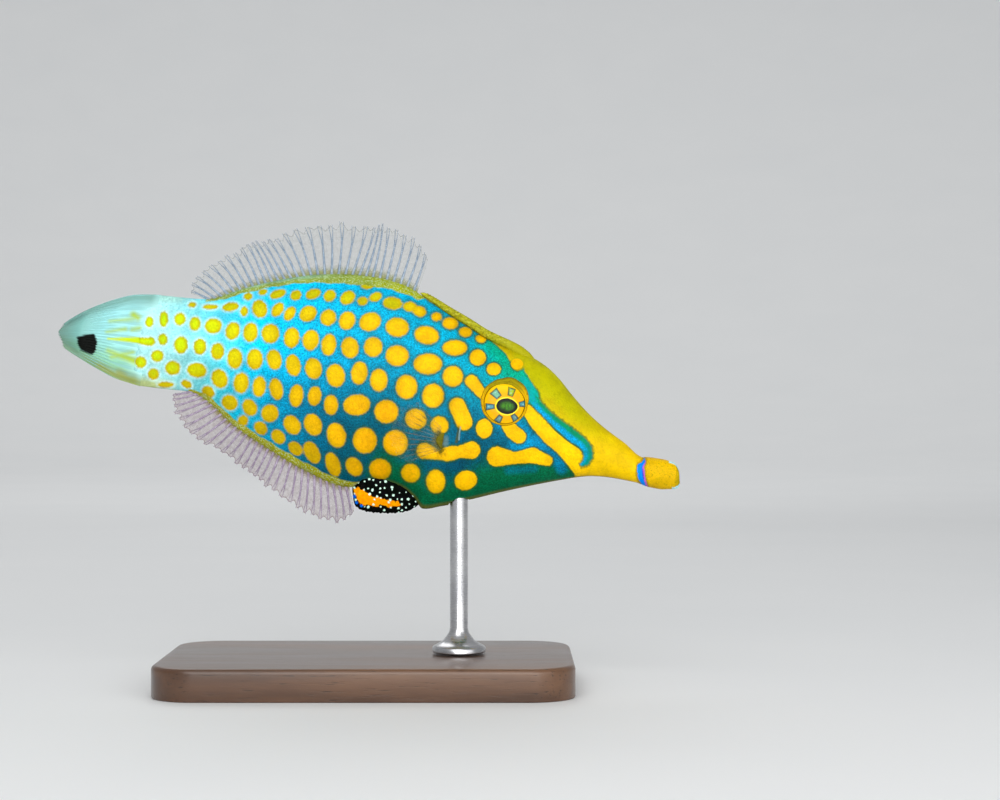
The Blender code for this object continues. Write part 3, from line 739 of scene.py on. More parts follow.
@dataclass(frozen=True)
class Markings:
    """The colour marks on the skin, as they lie on the flank.

    A spot is (s, v, width, height) and may add its turn in degrees; the others stand upright
    as the fish swims, so they are turned by the fish's pitch.
    """

    rows: tuple[Points, ...] = (
        # the small spots along the back
        ((72, 12.4, 1.4, 1.2), (69.9, 13.6, 1.4, 1, -25), (67.5, 13.8, 2.6, 1.4, -30),
         (64.7, 14.2, 1.8, 1.6, -35), (62.1, 15, 2.4, 1.6, -30), (59.5, 15.3, 1.8, 2, 35),
         (56.7, 15.6, 2, 2.5, 40), (54.3, 15.6, 1.6, 1.4), (54.2, 18.1, 2, 1),
         (52.5, 16.7, 2, 1.4, -35), (49.7, 16.3, 3, 2, -5), (47, 16.4, 2, 1.6),
         (45.3, 16, 2, 1.7, 5), (42.6, 15.8, 1.6, 1.4), (40.3, 15.3, 2.4, 1.9),
         (37.7, 14.5, 2, 1.6), (35.1, 14, 1.6, 1.3, -5)),
        # the rows from the tail to the head, each below the last
        ((80.3, 9.2, 1.2, 0.9), (77.4, 9.5, 2.4, 0.8), (74.3, 10.2, 2.6, 1.4, -20),
         (72, 10, 1.2, 1.6), (69.7, 10.9, 2.3, 2.9, -35), (66.9, 11.4, 1.7, 2.4, 22),
         (64.9, 11.2, 1.6, 2.4, 20), (62.1, 11.8, 2.8, 2.4, -45), (58.9, 11.9, 2.4, 2.6, 15),
         (55.9, 12.1, 2.5, 2.9, 5), (52.4, 12.7, 3.4, 2.9, -35), (48.1, 12.8, 3.6, 3, -5),
         (43.4, 12.6, 3.8, 2.8, 0), (38.7, 11.7, 3.8, 2.4), (34.9, 11, 2.5, 2.5),
         (32.1, 9.8, 2.2, 1.9)),
        ((86.25, 5.1, 1.3, 1.7), (84.1, 6, 1.4, 2.5), (81.6, 6.6, 1.8, 2),
         (79.1, 6.4, 1.8, 2.2), (76.2, 6.7, 2.7, 2.4), (73, 6.6, 2.2, 2.8, 5),
         (70.2, 7, 2.3, 3, -5), (67.1, 7.5, 2.8, 3), (63.7, 7.6, 2.4, 3.2, -5),
         (60.7, 7.9, 2.6, 3.2, -5), (57.8, 7.8, 2.3, 3.4, -5), (54.5, 8.1, 2.7, 3.3, -25),
         (51, 9, 2.9, 3.1), (47.1, 8.5, 3.6, 3.2, -5), (42.2, 8.3, 4.4, 3.2),
         (38, 7.3, 3.1, 3.2)),
        ((83.5, 2.9, 1.5, 1.8), (80.5, 2.7, 2.2, 2.7), (77.5, 3.1, 2, 2.5),
         (74.6, 3, 2.1, 2.6), (71.7, 2.5, 2.4, 3.2), (68.6, 3.1, 2.5, 3.2),
         (65.6, 3.7, 2.3, 3.2, -25), (62.5, 3.5, 2.3, 3.4, -25), (59.3, 3.7, 2.6, 3.3, -25),
         (55.7, 3.4, 2.9, 3.6, -25), (52.2, 4.6, 2.5, 3.6, -5), (49, 4.2, 2.7, 3.5),
         (44.6, 4.1, 3.3, 3.7), (40.3, 3.7, 3.3, 3.7)),
        ((83.8, 0.2, 2, 1.9), (81, -1.1, 2.4, 2.2), (77.2, -0.6, 3.1, 2.3, -5),
         (73.4, -1.1, 2.5, 3, -35), (69.9, -1, 2.4, 3.2, -5), (67, -0.9, 2.1, 3.2, -5),
         (64.3, -0.7, 2.1, 3.4, -25), (61, -1, 2.2, 3.5, -5), (58.2, -0.4, 2.1, 3, -5),
         (55.4, -1.2, 2.2, 3.1), (51.5, -0.3, 4.2, 3.2, -20), (46.8, -0.3, 3.7, 3.6),
         (42.1, -0.4, 3.3, 3.1, 15), (38.3, -0.5, 2.8, 2.6, 25)),
        ((83.8, -2.7, 1.8, 1.8), (81.6, -3.9, 2.5, 0.9), (78.4, -3.1, 1.7, 1.2, 15),
         (74.8, -3.5, 2.1, 1.8, 15),
         (71.1, -4.4, 2.6, 2.4, 15), (67.8, -4.4, 2.2, 2.7, -45), (64.5, -4.6, 2.7, 2.8, 30),
         (60.7, -5.6, 2.5, 3.2, -45), (57.5, -4.8, 2.7, 3.5, -35), (53.6, -5.6, 2.9, 3.9, -25),
         (49.1, -5.4, 3.7, 4), (44.4, -4.7, 3.8, 3.9)),
        ((68.5, -6.7, 1.6, 1.8, 30), (65.5, -7.2, 2.3, 1.9, 35), (62.5, -7.9, 2.5, 2, 35),
         (59.5, -9.1, 2.5, 1.9, 35), (56.8, -9.1, 2.3, 3.7, -40), (53.2, -10.2, 2.2, 3.9, -30),
         (49.9, -9.8, 2.4, 3.1, -45), (45.9, -9.3, 3.4, 3.3), (41.1, -8.8, 2.9, 2.9),
         (37, -9.2, 2.9, 3.7), (32.5, -8, 3.5, 3, -35)),
        # the spot behind and below the eye
        ((31.5, 0.5, 2.5, 3), (28.75, 11.4, 1.9, 1.7)),
        ((86.2, -1.35, 1.9, 1.8, 10),),
    )
    blotches: tuple[Points, ...] = (
        ((35, 7.2, 1), (33.2, 5.8, 0.75), (32, 5.4, 0.9)),
        ((36.3, 3, 1.25), (34.7, 0.8, 1.25)),
        ((28, 1.8, 1), (27.1, 1, 1.1), (26, 0.5, 1.1)),
        ((39.7, -4.9, 1.25), (37.5, -5, 0.75), (36.2, -4.6, 1.1), (35.5, -4.3, 1.1),
         (34.5, -3.9, 0.9), (32.7, -3.2, 1.35)),
        ((28.6, -3.3, 1.55), (25.8, -2.9, 0.9), (23.3, -1.9, 1.2), (20.8, -2.2, 0.8)),
        ((25.5, 4.7, 0.88), (23.7, 3.3, 1.2), (21.4, 1.6, 1.2), (19.1, 0.4, 1.2),
         (17.1, -0.65, 1.5), (15.4, -2.2, 1.35)),
        # the streak that runs on over the tail fin
        ((85.35, 2.15, 0.72), (86.2, 2, 0.6), (87.5, 1.88, 0.5)),
    )
    stripe: Points = (
        (27.4, 9.4, 0.3), (26.3, 8.5, 0.6), (25.3, 7.35, 0.8), (24.7, 6.35, 0.7),
        (24.05, 5.8, 0.62), (22.95, 5.1, 0.6), (21.65, 4.32, 0.66), (20.2, 3.52, 0.77),
        (18.95, 2.97, 0.85), (17.45, 2.27, 0.86), (16.25, 1.75, 0.78), (15.15, 0.98, 0.68),
        (14.75, -0.1, 0.62), (14.9, -1.1, 0.52), (15.35, -1.6, 0.3))
    snout_edge: Points = (
        (46, 18.75), (44.1, 17.9), (40.8, 17.1), (38.9, 16.4), (36.9, 15.5), (34.45, 14.6),
        (32.65, 13.7), (30.8, 12.6), (29.9, 11.6), (29.45, 10.8), (28.95, 10.4), (28.4, 10.35),
        (27.9, 10.65), (27.55, 11.1), (27.3, 10.5), (26.6, 9.9), (26, 9.25), (25.35, 8.5),
        (24.6, 7.95), (24.25, 7.2), (24.1, 6.4),
        (23.1, 5), (21.8, 4.2), (20.35, 3.4), (19.1, 2.85), (17.6, 2.15), (16.4, 1.65),
        (15.35, 0.9), (14.85, -0.1), (14.95, -1.1), (16.5, -1.65), (17.4, -2.2), (16.6, -2.85),
        (16.05, -3.6), (15.8, -6), (-9, -6), (-9, 24), (46, 24))
    slit: Points = ((35.15, 0.05, 0.05), (34.95, -2.1, 0.08))
    slit_shade: Points = ((35.4, 0.1, 0.05), (35.2, -2.5, 0.15))
    bone_shade: Points = ((26.4, -5, 0.5), (22.5, -3.9, 0.4))
    cheek_light: Points = ((29, 2.6, 0.8), (25.6, 0.6, 1.1), (26, -1.4, 0.8),
                           (22.3, 0.6, 0.9))
    cheek_deep: Points = ((22.3, 0.9, 0.7), (20.4, -0.6, 0.8), (18.9, -1.9, 0.8),
                          (18.4, -2.9, 0.5))
    fin_patch: Points = ((38.2, -1.6, 0.3), (38, -2.8, 0.65), (37.3, -4.2, 0.55))
    fin_shine: Points = ((36.9, -2.2, 0.25), (36.8, -3.1, 0.35))
    nostrils: Points = ((24.2, 7, 0.13), (23.1, 6.3, 0.11))
    ring_line: Points = ((6, 1.35, 0.1), (6.1, 0.75, 0.22), (6.4, 0.1, 0.48), (6.25, -0.7, 0.55),
                         (5.9, -1.6, 0.5), (5.3, -2.4, 0.36), (4.9, -2.95, 0.3))
    back_ridge: Line = Line(((45.2, 0.2), (46.2, 1.1), (50, 1.45), (57.5, 1.7), (66, 1.2),
                             (74, 0.95), (78.4, 0.4)))
    belly_ridge: Line = Line(((48.6, 0.2), (50.4, 1.1), (58, 1.35), (66, 1.2), (74, 0.95),
                              (78, 0.4)))
    melt: float = 0.45            # how near two marks are when they run together

    def spots(self, flank: Sheet) -> Array:
        """Returns the distance from the edge of the nearest orange-yellow mark.

        Args:
            flank: the skin's vertices.

        Returns:
            The distances.
        """
        gap = np.full(flank.s.shape, 1e3)
        for row in self.rows:
            for spot in row:
                tilt = spot[4] if len(spot) > 4 else -math.degrees(PITCH)
                gap = melted(gap, flank.oval(spot[:4], tilt), self.melt)
        for blotch in self.blotches:
            gap = melted(gap, flank.chain(blotch)[0], self.melt)
        return gap

    def ridges(self, s: Array, v: Array) -> Array:
        """Returns the distance from the edge of the fleshy ridges under the long fins.

        Args:
            s: the points' distance behind the snout tip.
            v: their height above the axis.

        Returns:
            The distances.
        """
        gaps = []
        for ridge, depth in ((self.back_ridge, BODY.top.at(s) - v),
                             (self.belly_ridge, v - BODY.foot.at(s))):
            front, rear = ridge.points[0][0], ridge.points[-1][0]
            wavy = 0.08 * np.sin(s * 1.7) + 0.04 * np.sin(s * 4.1)
            gaps.append(np.maximum(depth - ridge.at(s) - wavy, np.maximum(front - s, s - rear)))
        return np.minimum(*gaps)


MARKS = Markings()


class Finish:
    """A finish: named colours and the material that is made of them."""

    def material(self) -> Material:
        """Builds the finish's material."""
        raise NotImplementedError


class SkinGraph(Graph):
    """The skin's nodes, with the noises that its colours share."""

    def __init__(self, name: str, grain: float) -> None:
        """Starts the material; grain is the number of scales in a metre.

        Args:
            name: the material's name.
            grain: scales in a metre.
        """
        super().__init__(name)
        place = self.place()
        self.fine = self.noise(place, 2600, 3, 0.6)
        self.soft = self.noise(place, 420, 3, 0.55)
        self.pepper = self.noise(place, grain, 2, 0.6)
        self.grains = self.cells(place, grain)
        self.station = self.torn("station", self.fine, 0.05)


@dataclass(frozen=True)
class SkinFinish(Finish):
    """Matt, finely grained skin: blue with orange-yellow marks, and a yellow snout."""

    back: Ramp = (
        (0.27, (0, 0.35, 0.25)), (0.33, (0, 0.34, 0.44)), (0.38, (0, 0.37, 0.56)),
        (0.46, (0, 0.38, 0.61)), (0.54, (0, 0.42, 0.70)), (0.60, (0, 0.51, 0.84)),
        (0.66, (0, 0.57, 0.93)), (0.70, (0, 0.61, 0.95)), (0.74, (0.05, 0.64, 0.86)),
        (0.79, (0.17, 0.68, 0.76)), (0.86, (0.44, 0.86, 0.84)))
    flank: Ramp = (
        (0.18, (0, 0.12, 0.15)), (0.27, (0, 0.16, 0.27)), (0.34, (0, 0.13, 0.23)),
        (0.42, (0, 0.22, 0.36)), (0.50, (0, 0.25, 0.42)), (0.54, (0, 0.26, 0.46)),
        (0.58, (0, 0.35, 0.61)), (0.62, (0, 0.50, 0.86)), (0.66, (0, 0.59, 0.98)),
        (0.70, (0.005, 0.67, 0.99)), (0.74, (0.11, 0.79, 0.96)), (0.78, (0.28, 0.83, 0.93)),
        (0.84, (0.44, 0.89, 0.92)))
    marks: Ramp = (
        (0.18, (0.94, 0.57, 0)), (0.30, (0.92, 0.50, 0)), (0.44, (0.90, 0.48, 0)),
        (0.57, (0.80, 0.51, 0)), (0.67, (0.72, 0.57, 0)), (0.76, (0.61, 0.69, 0)),
        (0.84, (0.56, 0.86, 0.003)))
    belly: Ramp = (
        # painted shade under the belly: how much of the flank's colour is left there
        (0.30, (0.5, 0.52, 0.5)), (0.38, (0.5, 0.54, 0.53)), (0.44, (0.5, 0.44, 0.44)),
        (0.51, (0.5, 0.34, 0.31)), (0.56, (0.5, 0.42, 0.44)), (0.61, (0.5, 0.46, 0.48)),
        (0.66, (0.5, 0.60, 0.60)), (0.78, (0.6, 0.62, 0.56)))
    throat: Colour = (0.0, 0.122, 0.048)
    low_mark: Colour = (0.48, 0.34, 0.0)
    back_mark: Colour = (0.50, 0.50, 0.0)
    mark_edge: Colour = (0.50, 0.32, 0.0)
    cheek: Colour = (0.0, 0.26, 0.50)
    deep: Colour = (0.0, 0.19, 0.36)
    # painted shade under the cheek bone
    bone: Colour = (0.0, 0.18, 0.29)
    forehead: Colour = (0.44, 0.43, 0.0)
    snout: Colour = (0.80, 0.51, 0.0)
    nape: Colour = (0.38, 0.36, 0.002)
    nape_edge: Colour = (0.66, 0.48, 0.0)
    worn: Colour = (0.36, 0.29, 0.0)
    green: Colour = (0.0, 0.39, 0.24)
    line_blue: Colour = (0.0, 0.26, 0.46)
    line_glint: Colour = (0.0, 0.42, 0.86)
    line_green: Colour = (0.0, 0.26, 0.11)
    line_top: Colour = (0.0, 0.37, 0.33)
    line_foot: Colour = (0.0, 0.23, 0.20)
    ring_blue: Colour = (0.0, 0.24, 0.90)
    ring_dark: Colour = (0.03, 0.05, 0.50)
    lips: Colour = (0.78, 0.47, 0.0)
    lip_pale_and_highlight: Colour = (0.50, 0.85, 0.88)
    # the red lining inside the mouth, darkened with painted shade
    gape: Colour = (0.10, 0.02, 0.015)
    back_ridge: Colour = (0.25, 0.33, 0.03)
    ridge_mint: Colour = (0.23, 0.43, 0.26)
    ridge_front: Colour = (0.37, 0.42, 0.0)
    belly_ridge: Colour = (0.36, 0.36, 0.003)
    outline: Colour = (0.02, 0.10, 0.015)
    slit_pale: Colour = (0.30, 0.42, 0.40)
    frost: Colour = (0.75, 1.0, 0.98)
    tail_edge: Colour = (0.45, 0.50, 0.14)
    tail_crown: Colour = (0.36, 0.66, 0.56)
    grain: float = 4300.0     # scales in a metre

    def material(self) -> Material:
        """Builds the skin's material.

        Returns:
            The material.
        """
        g = SkinGraph("fish_skin", self.grain)
        colour = self.edges(g, self.markings(g, self.ground(g)))
        shade = g.rise(g.times(g.math("ADD", g.fine, g.soft), 0.5), 0.32, 0.68, 0.78, 1.16)
        colour = g.tinted(colour, shade)
        normal = g.bump(g.grains, 0.07, 0.5, g.bump(g.soft, 0.25, 0.35))
        g.surface(Base_Color=colour, Roughness=g.rise(g.fine, 0.3, 0.7, 0.42, 0.6),
                  Normal=normal, Specular_IOR_Level=0.07)
        return g.material

    def ground(self, g: SkinGraph) -> NodeSocket:
        """Returns the blue ground, brighter above, darker towards the belly with painted shade, and
        pale at the tail.

        Args:
            g: the material's nodes.

        Returns:
            The ground's colour.
        """
        level = g.torn("height", g.soft, 0.12)
        colour = g.mix(g.rise(level, 0.5, 0.76), g.ramp(g.station, self.flank),
                       g.ramp(g.station, self.back))
        # painted shade: the ground darkens towards the belly, as under light from above
        shade = g.times(g.rise(level, 0.56, 0.28), g.rise(g.station, 0.66, 0.84, 1, 0.6))
        painted_belly_shade = g.tinted(colour, g.ramp(g.station, self.belly))
        colour = g.mix(shade, colour, painted_belly_shade)
        throat = g.math("MAXIMUM", g.times(g.rise(level, 0.34, 0.16), g.rise(g.station, 0.34, 0.30)),
                        g.times(g.rise(level, 0.24, 0.08), g.rise(g.station, 0.49, 0.46)))
        colour = g.mix(throat, colour, self.throat)
        colour = g.over(colour, self.deep, "cheek_deep", 0.9, -0.3, 0.9)
        colour = g.over(colour, self.cheek, "cheek_light", 1.0, -0.3, 0.9)
        colour = g.within(colour, self.green, 1.0, ("snout", 4.0, 0.6), ("height", 0.63, 0.76),
                          (g.station, 0.37, 0.33))
        # painted shade: a darker band under the cheek bone
        colour = g.over(colour, self.bone, "bone_shade", 0.6, -0.4, 0.55)
        specks = g.times(g.rise(g.cells(g.place(), 1500, 0.9), 0.30, 0.16),
                         g.rise(g.fine, 0.45, 0.62), g.rise(g.station, 0.68, 0.82), 0.22)
        colour = g.mix(specks, colour, self.frost)
        tone = g.times(g.rise(g.pepper, 0.3, 0.7, 0.62, 1.38), g.rise(g.fine, 0.3, 0.7, 1.08, 0.92))
        lively = g.rise(g.station, 0.82, 0.62, 0.2, 1.0)
        colour = g.mix(lively, colour, g.tinted(colour, tone))
        colour = g.within(colour, self.tail_edge, 0.85, ("height", 0.15, 0.04),
                          (g.station, 0.79, 0.83))
        return g.within(colour, self.tail_crown, 0.7, ("height", 0.88, 0.98),
                        (g.station, 0.80, 0.83))

    def markings(self, g: SkinGraph, colour: object) -> NodeSocket:
        """Lays the yellow snout, the orange-yellow marks and the two-coloured stripe on.

        Args:
            g: the material's nodes.
            colour: the ground.

        Returns:
            The marked colour.
        """
        snout = g.torn("snout", g.fine, 0.36)
        low_fore = g.over(self.snout, self.forehead, g.station, 0.06, 0.2, 0.95)
        top = g.over(low_fore, self.nape, g.station, 0.24, 0.36)
        body = g.over(self.snout, top, g.math("ADD", "height", g.times(g.soft, 0.2)), 0.62, 0.98)
        body = g.within(body, self.nape_edge, 1.0, (snout, -1.6, -0.3, 0.0, 0.75),
                        (g.station, 0.26, 0.30))
        body = g.over(body, self.worn, g.fine, 0.5, 0.7, 0.3)
        colour = g.over(colour, self.outline, snout, 0.42, 0.0, 0.6)
        colour = g.over(colour, body, snout, 0.12, -0.1)
        spots = g.torn("spots", g.fine, 0.42)
        colour = g.within(colour, self.frost, 1.0, (spots, 0.5, 0.1),
                          (g.station, 0.62, 0.78, 0.0, 0.4))
        low = g.times(g.rise("height", 0.26, 0.06), g.rise(g.station, 0.46, 0.58, 0.1, 0.7))
        yellow = g.ramp(g.station, self.marks)
        yellow = g.within(yellow, g.tinted(yellow, (0.98, 0.84, 1.0)), 1.0,
                          ("height", 0.56, 0.36), (g.station, 0.40, 0.47))
        yellow = g.mix(low, yellow, self.low_mark)
        yellow = g.within(yellow, self.back_mark, 0.9, ("height", 0.77, 0.88),
                          (g.station, 0.42, 0.5))
        yellow = g.within(yellow, self.mark_edge, 1.0, (spots, -0.75, -0.05),
                          (g.station, 0.31, 0.40, 0.2, 0.6))
        wide = g.times(spots, g.rise(g.station, 0.31, 0.40, 1.5, 1.0))
        colour = g.within(colour, self.outline, 1.0, (wide, 0.6, 0.1),
                          (g.station, 0.78, 0.5, 0.1, 0.85), (g.station, 0.52, 0.34, 0.5, 1.0),
                          ("snout", -0.5, 0.3, 0.1, 1.0))
        colour = g.over(colour, yellow, wide, 0.18, -0.16)
        split = g.torn("stripe_side", g.fine, 0.72)
        blue = g.over(self.line_blue, self.line_glint, g.pepper, 0.42, 0.62)
        line = g.over(blue, self.line_green, split, -0.25, 0.3)
        line = g.over(line, self.line_top, g.station, 0.238, 0.256)
        line = g.over(line, self.line_foot, g.station, 0.165, 0.145, 0.6)
        stripe = g.torn("stripe", g.fine, 0.58)
        colour = g.within(colour, self.outline, 0.75, (stripe, 0.5, 0.1),
                          ("station", 0.265, 0.245))
        return g.over(colour, line, stripe, 0.2, -0.15)

    def edges(self, g: SkinGraph, colour: object) -> NodeSocket:
        """Lays on the ridges, the lips, the ring behind them, the gill slit and the fin patch.

        Args:
            g: the material's nodes.
            colour: the marked colour.

        Returns:
            The finished colour.
        """
        ridge = g.math("ADD", "ridge", g.times(g.fine, 0.16))
        back = g.mix(g.times(g.rise(ridge, -0.35, -0.9), g.rise("station", 0.58, 0.66)),
                     self.back_ridge, self.ridge_mint)
        back = g.over(back, self.ridge_front, "station", 0.56, 0.50)
        olive = g.over(self.belly_ridge, back, "height", 0.4, 0.6)
        olive = g.over(olive, self.outline, g.fine, 0.52, 0.68, 0.3)
        olive = g.over(olive, (0.7, 0.9, 0.6), g.times(g.fine, g.grains), 0.26, 0.38, 0.35)
        colour = g.over(colour, olive, ridge, 0.25, -0.05)
        colour = g.within(colour, (0.16, 0.14, 0.01), 0.7, ("height", 0.035, 0.012),
                          ("station", 0.5, 0.4))
        colour = g.over(colour, (0.10, 0.09, 0.004), g.torn("fin_patch", g.fine, 1.6), 0.5, -0.4, 0.9)
        colour = g.over(colour, (0.14, 0.24, 0.24), "fin_shine", 0.4, -0.3, 0.7)
        colour = g.over(colour, (0.08, 0.09, 0.008), "slit_shade", 0.22, -0.12, 0.85)
        colour = g.over(colour, self.slit_pale, "slit", 0.12, -0.05)
        # painted shade: dark in the sunken nostril pits
        colour = g.over(colour, (0.10, 0.08, 0.0), "pit", 0.08, -0.05, 0.8)
        lip = g.over(self.lips, self.worn, g.fine, 0.54, 0.68, 0.6)
        lip = g.over(lip, self.worn, g.torn("lip", g.fine, 1.6), 0.9, 0.3, 0.7)
        lip = g.within(lip, (0.12, 0.10, 0.0), 0.6, (g.pepper, 0.56, 0.66), (g.fine, 0.4, 0.55))
        colour = g.over(colour, lip, "lip", 5.9, 5.6)
        ring = g.torn("ring", g.fine, 0.5)
        colour = g.over(colour, (0.10, 0.08, 0.01), ring, 0.5, 0.05, 0.65)
        colour = g.over(colour, self.ring_blue, ring, 0.08, -0.08)
        side = g.torn("ring_side", g.fine, 0.3)
        inside = g.rise(ring, 0.08, -0.08)
        colour = g.mix(g.times(inside, g.rise(side, 0.05, 0.4)), colour, self.ring_dark)
        colour = g.within(colour, (0.48, 0.12, 0.50), 1.0, (ring, 0.14, 0.04),
                          (ring, -0.2, -0.06), (side, 0.1, 0.3))
        # partly the lips' own pale rims and partly painted highlight: blue-white along the top of the
        # upper lip and the foot of the lower one
        colour = g.over(colour, self.lip_pale_and_highlight, g.torn("pale", g.fine, 0.4), 0.12, -0.06)
        # inside the mouth: the lining's red, darkened as painted shade in the gape
        return g.mix("gape", colour, self.gape)


@dataclass
class Skin:
    """One unbroken skin from inside the mouth to the root of the tail fin."""

    sides: int = 230
    gape_height: float = -0.4
    gape_half: float = 0.33       # half the opening between the lips
    gape_width: float = 0.95      # half the width of the opening
    gape_depth: float = 2.4
    lip_start: float = 0.36
    eye: tuple[float, float] = EYE_PLACE
    socket_radius: float = 3.2
    socket_depth: float = 1.3
    rod_place: float = 32.8
    rod_hole: float = 1.68
    rod_deep: float = 3.0
    tail_reach: float = 1.5       # how far the skin runs on over the tail fin's root
    finish: SkinFinish = field(default_factory=SkinFinish)

    def rings(self) -> tuple[Array, Array, Array]:
        """Lists the rings of the skin from the bottom of the mouth to the tail.

        Returns:
            Each ring's place, how far it is from the mouth's slit towards the outer skin,
            and its size across the fish.
        """
        inside = np.linspace(self.gape_depth, self.lip_start, 12, endpoint=False)
        roll = np.linspace(0, 1, 14)
        lips = self.lip_start * (1 - np.sin(math.pi * roll)) + 0.1 * roll
        front = lips[-1]
        outer = [np.arange(front + 0.07, 1.5, 0.07), np.arange(1.5, 5.6, 0.16),
                 np.arange(5.6, 6.9, 0.08), np.arange(6.9, 14.0, 0.22),
                 np.arange(14.0, 39.0, 0.19), np.arange(39.0, BODY.body_end, 0.24)]
        turn = np.linspace(0, math.pi / 2, 13)[1:]
        tail = BODY.body_end + self.tail_reach * np.sin(turn)
        place = np.concatenate([inside, lips, *outer, tail])
        spread = np.concatenate([np.zeros(len(inside)), (1 - np.cos(math.pi * roll)) / 2,
                                 np.ones(len(place) - len(inside) - len(lips))])
        size = np.ones(len(place))
        size[:len(inside)] = np.sqrt(1 - (inside - self.lip_start)
                                     / (self.gape_depth - self.lip_start) * 0.97)
        size[-len(turn):] = np.maximum(np.cos(turn), 0.06)
        return place, spread, size

    def build(self) -> Object:
        """Shapes a sphere into the skin and keeps the marks' distances at its vertices.

        Returns:
            The skin.
        """
        place, spread, size = self.rings()
        rows = len(place) + 1
        skin = added("fish_skin", bpy.ops.mesh.primitive_uv_sphere_add, segments=self.sides,
                     ring_count=rows, radius=1)
        ball = points_of(skin)
        row = np.rint(np.arccos(np.clip(ball[:, 2], -1, 1)) / math.pi * rows).astype(int)
        turn = np.arctan2(-ball[:, 1], ball[:, 0])
        ring = np.clip(row - 1, 0, len(place) - 1)
        s, spread, size = place[ring], spread[ring], size[ring]
        outer_s = np.where(spread < 1, self.lip_start + 0.1, np.minimum(s, BODY.body_end))
        y, v = BODY.ring(outer_s, turn, SKIN_SINK)
        closing = s > BODY.body_end
        y = np.where(closing, y * size, y)
        end_v = BODY.middle.at(BODY.body_end)
        v = np.where(closing, end_v + (v - end_v) * (0.9 + 0.1 * size), v)
        mouth = np.where(spread < 1, size, 1.0)
        slit_y = self.gape_width * np.sin(turn) * mouth
        slit_v = self.gape_height + self.gape_half * np.cos(turn) * mouth
        y = slit_y + (y - slit_y) * spread
        v = slit_v + (v - slit_v) * spread
        slant = BODY.jaw_slant * np.cos(turn) * np.maximum(0, 1 - s / 4)
        groove = 0.10 * np.exp(-((s - 6.0) / 0.22) ** 2)
        y = y * (1 - groove / 2)
        poles = (row == 0) | (row == rows)
        y, v = np.where(poles, 0, y), np.where(row == 0, self.gape_height, v)
        v = np.where(row == rows, end_v, v)
        slant = np.where(poles, 0, slant)
        self.paint(skin, s, v, spread)
        s = s + slant
        y = self.hollowed(s, y, v)
        set_points(skin, self.bored(world(s, y, v)))
        return hang(skin, self.finish, "skin_body", "upper_jaw", "lower_jaw", "snout", "head",
                    "torso", "tail_peduncle")

    def paint(self, skin: Object, s: Array, v: Array, spread: Array) -> None:
        """Keeps the distances from the marks at the skin's vertices.

        Args:
            skin: the skin.
            s: its vertices' distance behind the snout tip.
            v: their height.
            spread: 0 inside the mouth, 1 on the outer skin.
        """
        belly, back = BODY.foot.at(s), BODY.top.at(s)
        mark(skin, "station", s / TOTAL_LENGTH)
        mark(skin, "height", np.clip((v - belly) / (back - belly), 0, 1))
        flank = Sheet(s, v)
        mark(skin, "spots", MARKS.spots(flank))
        mark(skin, "snout", flank.area(MARKS.snout_edge))
        for name, line in (("stripe", MARKS.stripe), ("ring", MARKS.ring_line)):
            gap, beside = flank.chain(line)
            mark(skin, name, gap)
            mark(skin, f"{name}_side", beside)
        mark(skin, "ridge", MARKS.ridges(s, v))
        for name in ("slit", "slit_shade", "bone_shade", "cheek_light", "cheek_deep",
                     "fin_patch", "fin_shine"):
            mark(skin, name, flank.chain(getattr(MARKS, name))[0])
        mark(skin, "pit", flank.discs(MARKS.nostrils))
        mark(skin, "lip", s)
        mark(skin, "gape", ease(spread, 0.35, 0.1))
        # where the lips' pale rims and their painted highlight lie
        lower = np.maximum(s - 1.0, v - BODY.foot.at(s) - 0.4)
        upper = np.maximum(np.abs(s - 1.1) - 0.9, BODY.top.at(s) - 0.28 - v)
        mark(skin, "pale", np.where(spread > 0.5, np.minimum(lower, upper), 1.0))

    def hollowed(self, s: Array, y: Array, v: Array) -> Array:
        """Sinks the skin under the eyes, in the gill slits and in the nostrils.

        Args:
            s: the vertices' distance behind the snout tip.
            y: their distance from the middle plane.
            v: their height.

        Returns:
            The new y.
        """
        eye = np.hypot(s - self.eye[0], v - self.eye[1])
        depth = self.socket_depth * ease(eye, self.socket_radius + 0.25, self.socket_radius - 0.5)
        flank = Sheet(s, v)
        depth = depth + 0.4 * ease(flank.chain(MARKS.slit_shade)[0], 0.2, -0.1)
        depth = depth - 0.12 * ease(flank.chain(MARKS.slit)[0], 0.15, -0.05)
        for place, height, radius in MARKS.nostrils:
            depth = depth + 0.15 * ease(np.hypot(s - place, v - height), radius + 0.1, 0)
        outer = s > 7.0
        return np.where(outer, y - np.sign(y) * np.minimum(depth, np.abs(y) * 0.8), y)

    def bored(self, points: Array) -> Array:
        """Opens the hole in the breast that the rod's top stands in.

        Args:
            points: the skin's vertices in metres.

        Returns:
            The vertices with the hole's wall pushed up round the rod.
        """
        axis = world(self.rod_place, 0, BODY.foot.at(self.rod_place))
        away = points[:, :2] - axis[:2]
        far = np.linalg.norm(away, axis=1) / MM
        low = points[:, 2] < axis[2] + 3.0 * MM
        snap = low & (far > self.rod_hole - 0.2) & (far < self.rod_hole + 0.25)
        made = points.copy()
        made[snap, :2] = axis[:2] + away[snap] / far[snap, None] * self.rod_hole
        wall = low & (far <= self.rod_hole - 0.2)
        made[wall, :2] = axis[:2] + away[wall] * 0.98
        made[wall, 2] = axis[2] + self.rod_deep * MM
        return made


